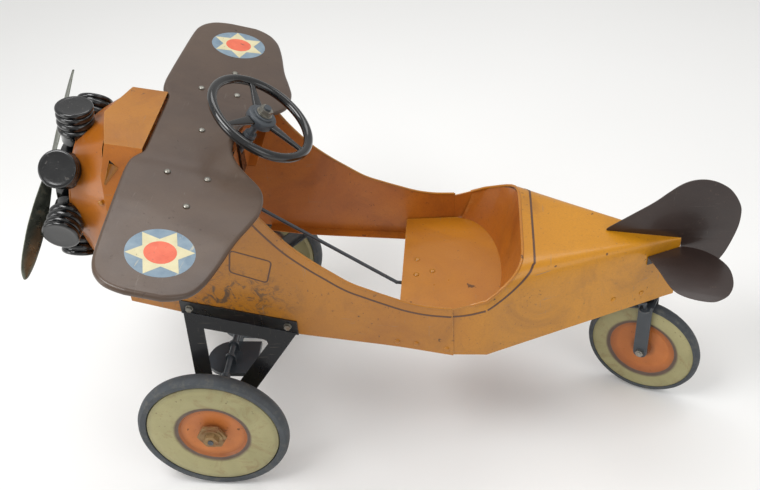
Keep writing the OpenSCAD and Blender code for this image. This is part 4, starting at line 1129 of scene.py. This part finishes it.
ch_lo = smooth_lookup([(12, -9), (34, -13), (70, -17), (110, -18), (150, -15), (178, -9), (187, -4.6), (190, -0.6)])
ch_hi = smooth_lookup([(12, 9), (34, 12), (70, 16), (110, 18), (150, 16), (176, 11), (186, 5), (190, 0.6)])
for b in range(2):
    rows = []
    for z in list(np.linspace(12, 170, 40)) + list(170 + 20 * np.sin(np.linspace(0.1, 1, 12) * math.pi / 2)):
        lo_, hi_ = ch_lo(z), ch_hi(z)
        pit = rad(36 - 8 * z / 190)
        ring_ = []
        K = 14
        for t in range(2 * K):
            u = 2 * math.pi * t / (2 * K)
            c = (lo_ + hi_) / 2 + (hi_ - lo_) / 2 * math.cos(u)
            th = 1.15 * math.copysign(abs(math.sin(u)) ** 0.5, math.sin(u))
            q = (c - (lo_ + hi_) / 2) / max(1, (hi_ - lo_) / 2)
            th += 1.6 * (1 - q * q) * min(1, z / 60) - 0.8
            x, y = th * math.cos(pit) - c * math.sin(pit), th * math.sin(pit) + c * math.cos(pit)
            sgn = 1 if b == 0 else -1
            ring_.append(propp((x, y * sgn, z * sgn)))
        rows.append(ring_)
    V, F = grid(rows, wrap_j=True)
    F += [tuple(range(28)), tuple(reversed(range(len(V) - 28, len(V))))]
    make("blade_%d" % (b + 1), V, F, prop_steel, "prop", "worn_steel", split=60, replaces=["propeller"])
hubp = [(4.05, -3), (19, -3), (21, -2.4), (22, -1), (22, 1.6), (21, 2.8), (4.05, 3)]
rows = [[propp((z_, r_ * math.cos(2 * math.pi * t / 48), r_ * math.sin(2 * math.pi * t / 48))) for r_, z_ in hubp] for t in range(48)]
V, F = grid(rows, wrap_i=True, wrap_j=True)
make("propeller_hub", V, F, prop_steel, "prop", "worn_steel", split=40, replaces=["propeller"])

# ------------------------------------------------------------------ thin tail surfaces, smooth outlines with a worn rounded edge
def plate(outline, place, th, mat, name, slot, node, r=0.5):
    """flat plate with rounded edges; outline in mm, place(u, v, w)"""
    P = [np.array(q, float) for q in outline]
    L = len(P)
    area_ = sum(P[i][0] * P[(i + 1) % L][1] - P[(i + 1) % L][0] * P[i][1] for i in range(L))
    sg = 1 if area_ > 0 else -1
    nrm_ = []
    for i in range(L):
        t = P[(i + 1) % L] - P[i - 1]
        t /= np.linalg.norm(t)
        nrm_.append(np.array([-t[1], t[0]]) * sg)
    V, F = [], []
    levels = [(r * 1.4, th), (r * 0.4, th - r * 0.35), (0, th / 2), (r * 0.4, r * 0.35), (r * 1.4, 0)]
    for d, w in levels:
        V += [place(*(P[i] + nrm_[i] * d), w) for i in range(L)]
    for k in range(len(levels) - 1):
        for i in range(L):
            F.append((k * L + i, k * L + (i + 1) % L, (k + 1) * L + (i + 1) % L, (k + 1) * L + i))
    tri = tessellate_polygon([[Vector((*(P[i] + nrm_[i] * levels[0][0]), 0)) for i in range(L)]])
    b = (len(levels) - 1) * L
    F += [tuple(t) for t in tri] + [(b + t[2], b + t[1], b + t[0]) for t in tri]
    return make(name, V, F, mat, "airframe", slot, split=50, replaces=[node] if node else ())


fin_c = catmull([(650, 362), (652, 367.5), (684, 391), (720, 417), (742, 437), (760, 452), (776, 459.5), (792, 461.5), (806, 459.5), (820, 454), (835, 444), (846, 431), (855, 415), (859.5, 399.5), (859.5, 373), (854, 345), (846, 318), (838, 300)], 6)
fin_o = [tuple(p) for p in fin_c] + [(772, 300), (772, 346.3), (771, 346.4)]
plate(fin_o, lambda u, v, w: (u, 0.9 - w + 1.2 * math.sin((u - 650) / 70) * min(1, max(0, (v - 380) / 60)) * 0.5, v), 1.8, fin_paint, "fin_sheet", "brown_paint", "fin")
STAB = [(770, -4.2), (778, -3.5), (794, -8), (811, -17), (828, -34), (839, -56), (841, -80), (837, -104), (827, -124), (814, -135), (799, -140.5), (776, -136), (756, -126), (744, -113), (736, -92), (729, -66), (716, -28.8)]
stab_c = [tuple(p) for p in catmull(STAB, 6)]
for s, side in ((1, "left"), (-1, "right")):
    plate(stab_c, lambda u, v, w, s=s: (u, v * s, 328.5 + w + 0.8 * math.sin(v / 28)), 1.8, fin_paint, "stabilizer_sheet_" + side, "brown_paint", "stabilizer_" + side)
    V = [(716, -28.8 * s, 312), (770, -4.2 * s, 312), (770, -5.5 * s, 312), (716, -30.1 * s, 312), (716, -28.8 * s, 329.5), (770, -4.2 * s, 329.5), (770, -5.5 * s, 329.5), (716, -30.1 * s, 329.5)]
    make("stabilizer_tab_" + side, V, [(0, 1, 2, 3), (4, 7, 6, 5), (0, 4, 5, 1), (1, 5, 6, 2), (2, 6, 7, 3), (3, 7, 4, 0)], fin_paint, "airframe", "brown_paint", smooth=False, replaces=["stabilizer_" + side], bevel=0.3)

# ------------------------------------------------------------------ camera, lights, floor
a, e, r = rad(6.98), rad(38.58), rad(-4.59)
back = Vector((math.sin(a) * math.cos(e), -math.cos(a) * math.cos(e), math.sin(e)))
R0 = Vector((math.cos(a), math.sin(a), 0))
U0 = back.cross(R0)
R2 = R0 * math.cos(r) + U0 * math.sin(r)
U2 = U0 * math.cos(r) - R0 * math.sin(r)
cam = bpy.data.cameras.new("camera")
cam.sensor_width = 36
cam.lens = 1019.2 * 36 / 760
cam.clip_start, cam.clip_end = 0.05, 100
co = bpy.data.objects.new("camera", cam)
bpy.context.scene.collection.objects.link(co)
tgt = Vector(((272.78 - MX) / 1000, 0.01141, 0.32356))
loc = tgt + back * 1.74221
mw = Matrix((R2, U2, back)).transposed().to_4x4()
mw.translation = loc
co.matrix_world = mw
bpy.context.scene.camera = co

world = bpy.data.worlds.new("world")
bpy.context.scene.world = world
world.use_nodes = True
bg = world.node_tree.nodes["Background"]
bg.inputs[0].default_value = (1.0, 0.995, 0.985, 1)
bg.inputs[1].default_value = 0.56


def area(name, loc, target, size, power, color=(1, 1, 1)):
    d = bpy.data.lights.new(name, "AREA")
    d.shape = "RECTANGLE"
    d.size, d.size_y = size
    d.energy = power
    d.color = color
    o = bpy.data.objects.new(name, d)
    bpy.context.scene.collection.objects.link(o)
    o.location = loc
    o.rotation_mode = "QUATERNION"
    o.rotation_quaternion = (Vector(target) - Vector(loc)).to_track_quat("-Z", "Y")
    return o


area("key", (-0.9, -0.7, 2.3), (0, 0, 0.3), (1.2, 0.9), 26)
area("fill", (1.6, -1.6, 1.5), (0, 0, 0.3), (1.4, 1.4), 9)
area("top", (0.2, 0.9, 2.2), (0, 0, 0.3), (2.2, 0.8), 14)
area("side", (-2.0, -1.2, 0.9), (-0.3, 0, 0.5), (0.9, 1.1), 10)

fm_ = M("floor_paper")
fc = fm_.mix(fm_.ramp(fm_.noise(1.2, 3, 0.5), [(0.3, 0.0), (0.7, 1.0)]), (0.95, 0.95, 0.94), (0.93, 0.93, 0.92))
fm_.done(fc, 0.7, fm_.bump(fm_.noise(60, 3, 0.5), 0.03, 0.001), Specular_IOR_Level=0.1)
fme = bpy.data.meshes.new("floor")
fme.from_pydata([(-12, -12, -0.0005), (12, -12, -0.0005), (12, 12, -0.0005), (-12, 12, -0.0005)], [], [(0, 1, 2, 3)])
fme.materials.append(fm_.m)
fo = bpy.data.objects.new("floor", fme)
bpy.context.scene.collection.objects.link(fo)
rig.stage(fo)
bpy.context.scene.view_settings.view_transform = "Standard"

lo1, hi1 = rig.bounds()
with open("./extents.json", "w") as f_:
    json.dump({"cad": [list(lo0), list(hi0)], "visual": [list(lo1), list(hi1)]}, f_)
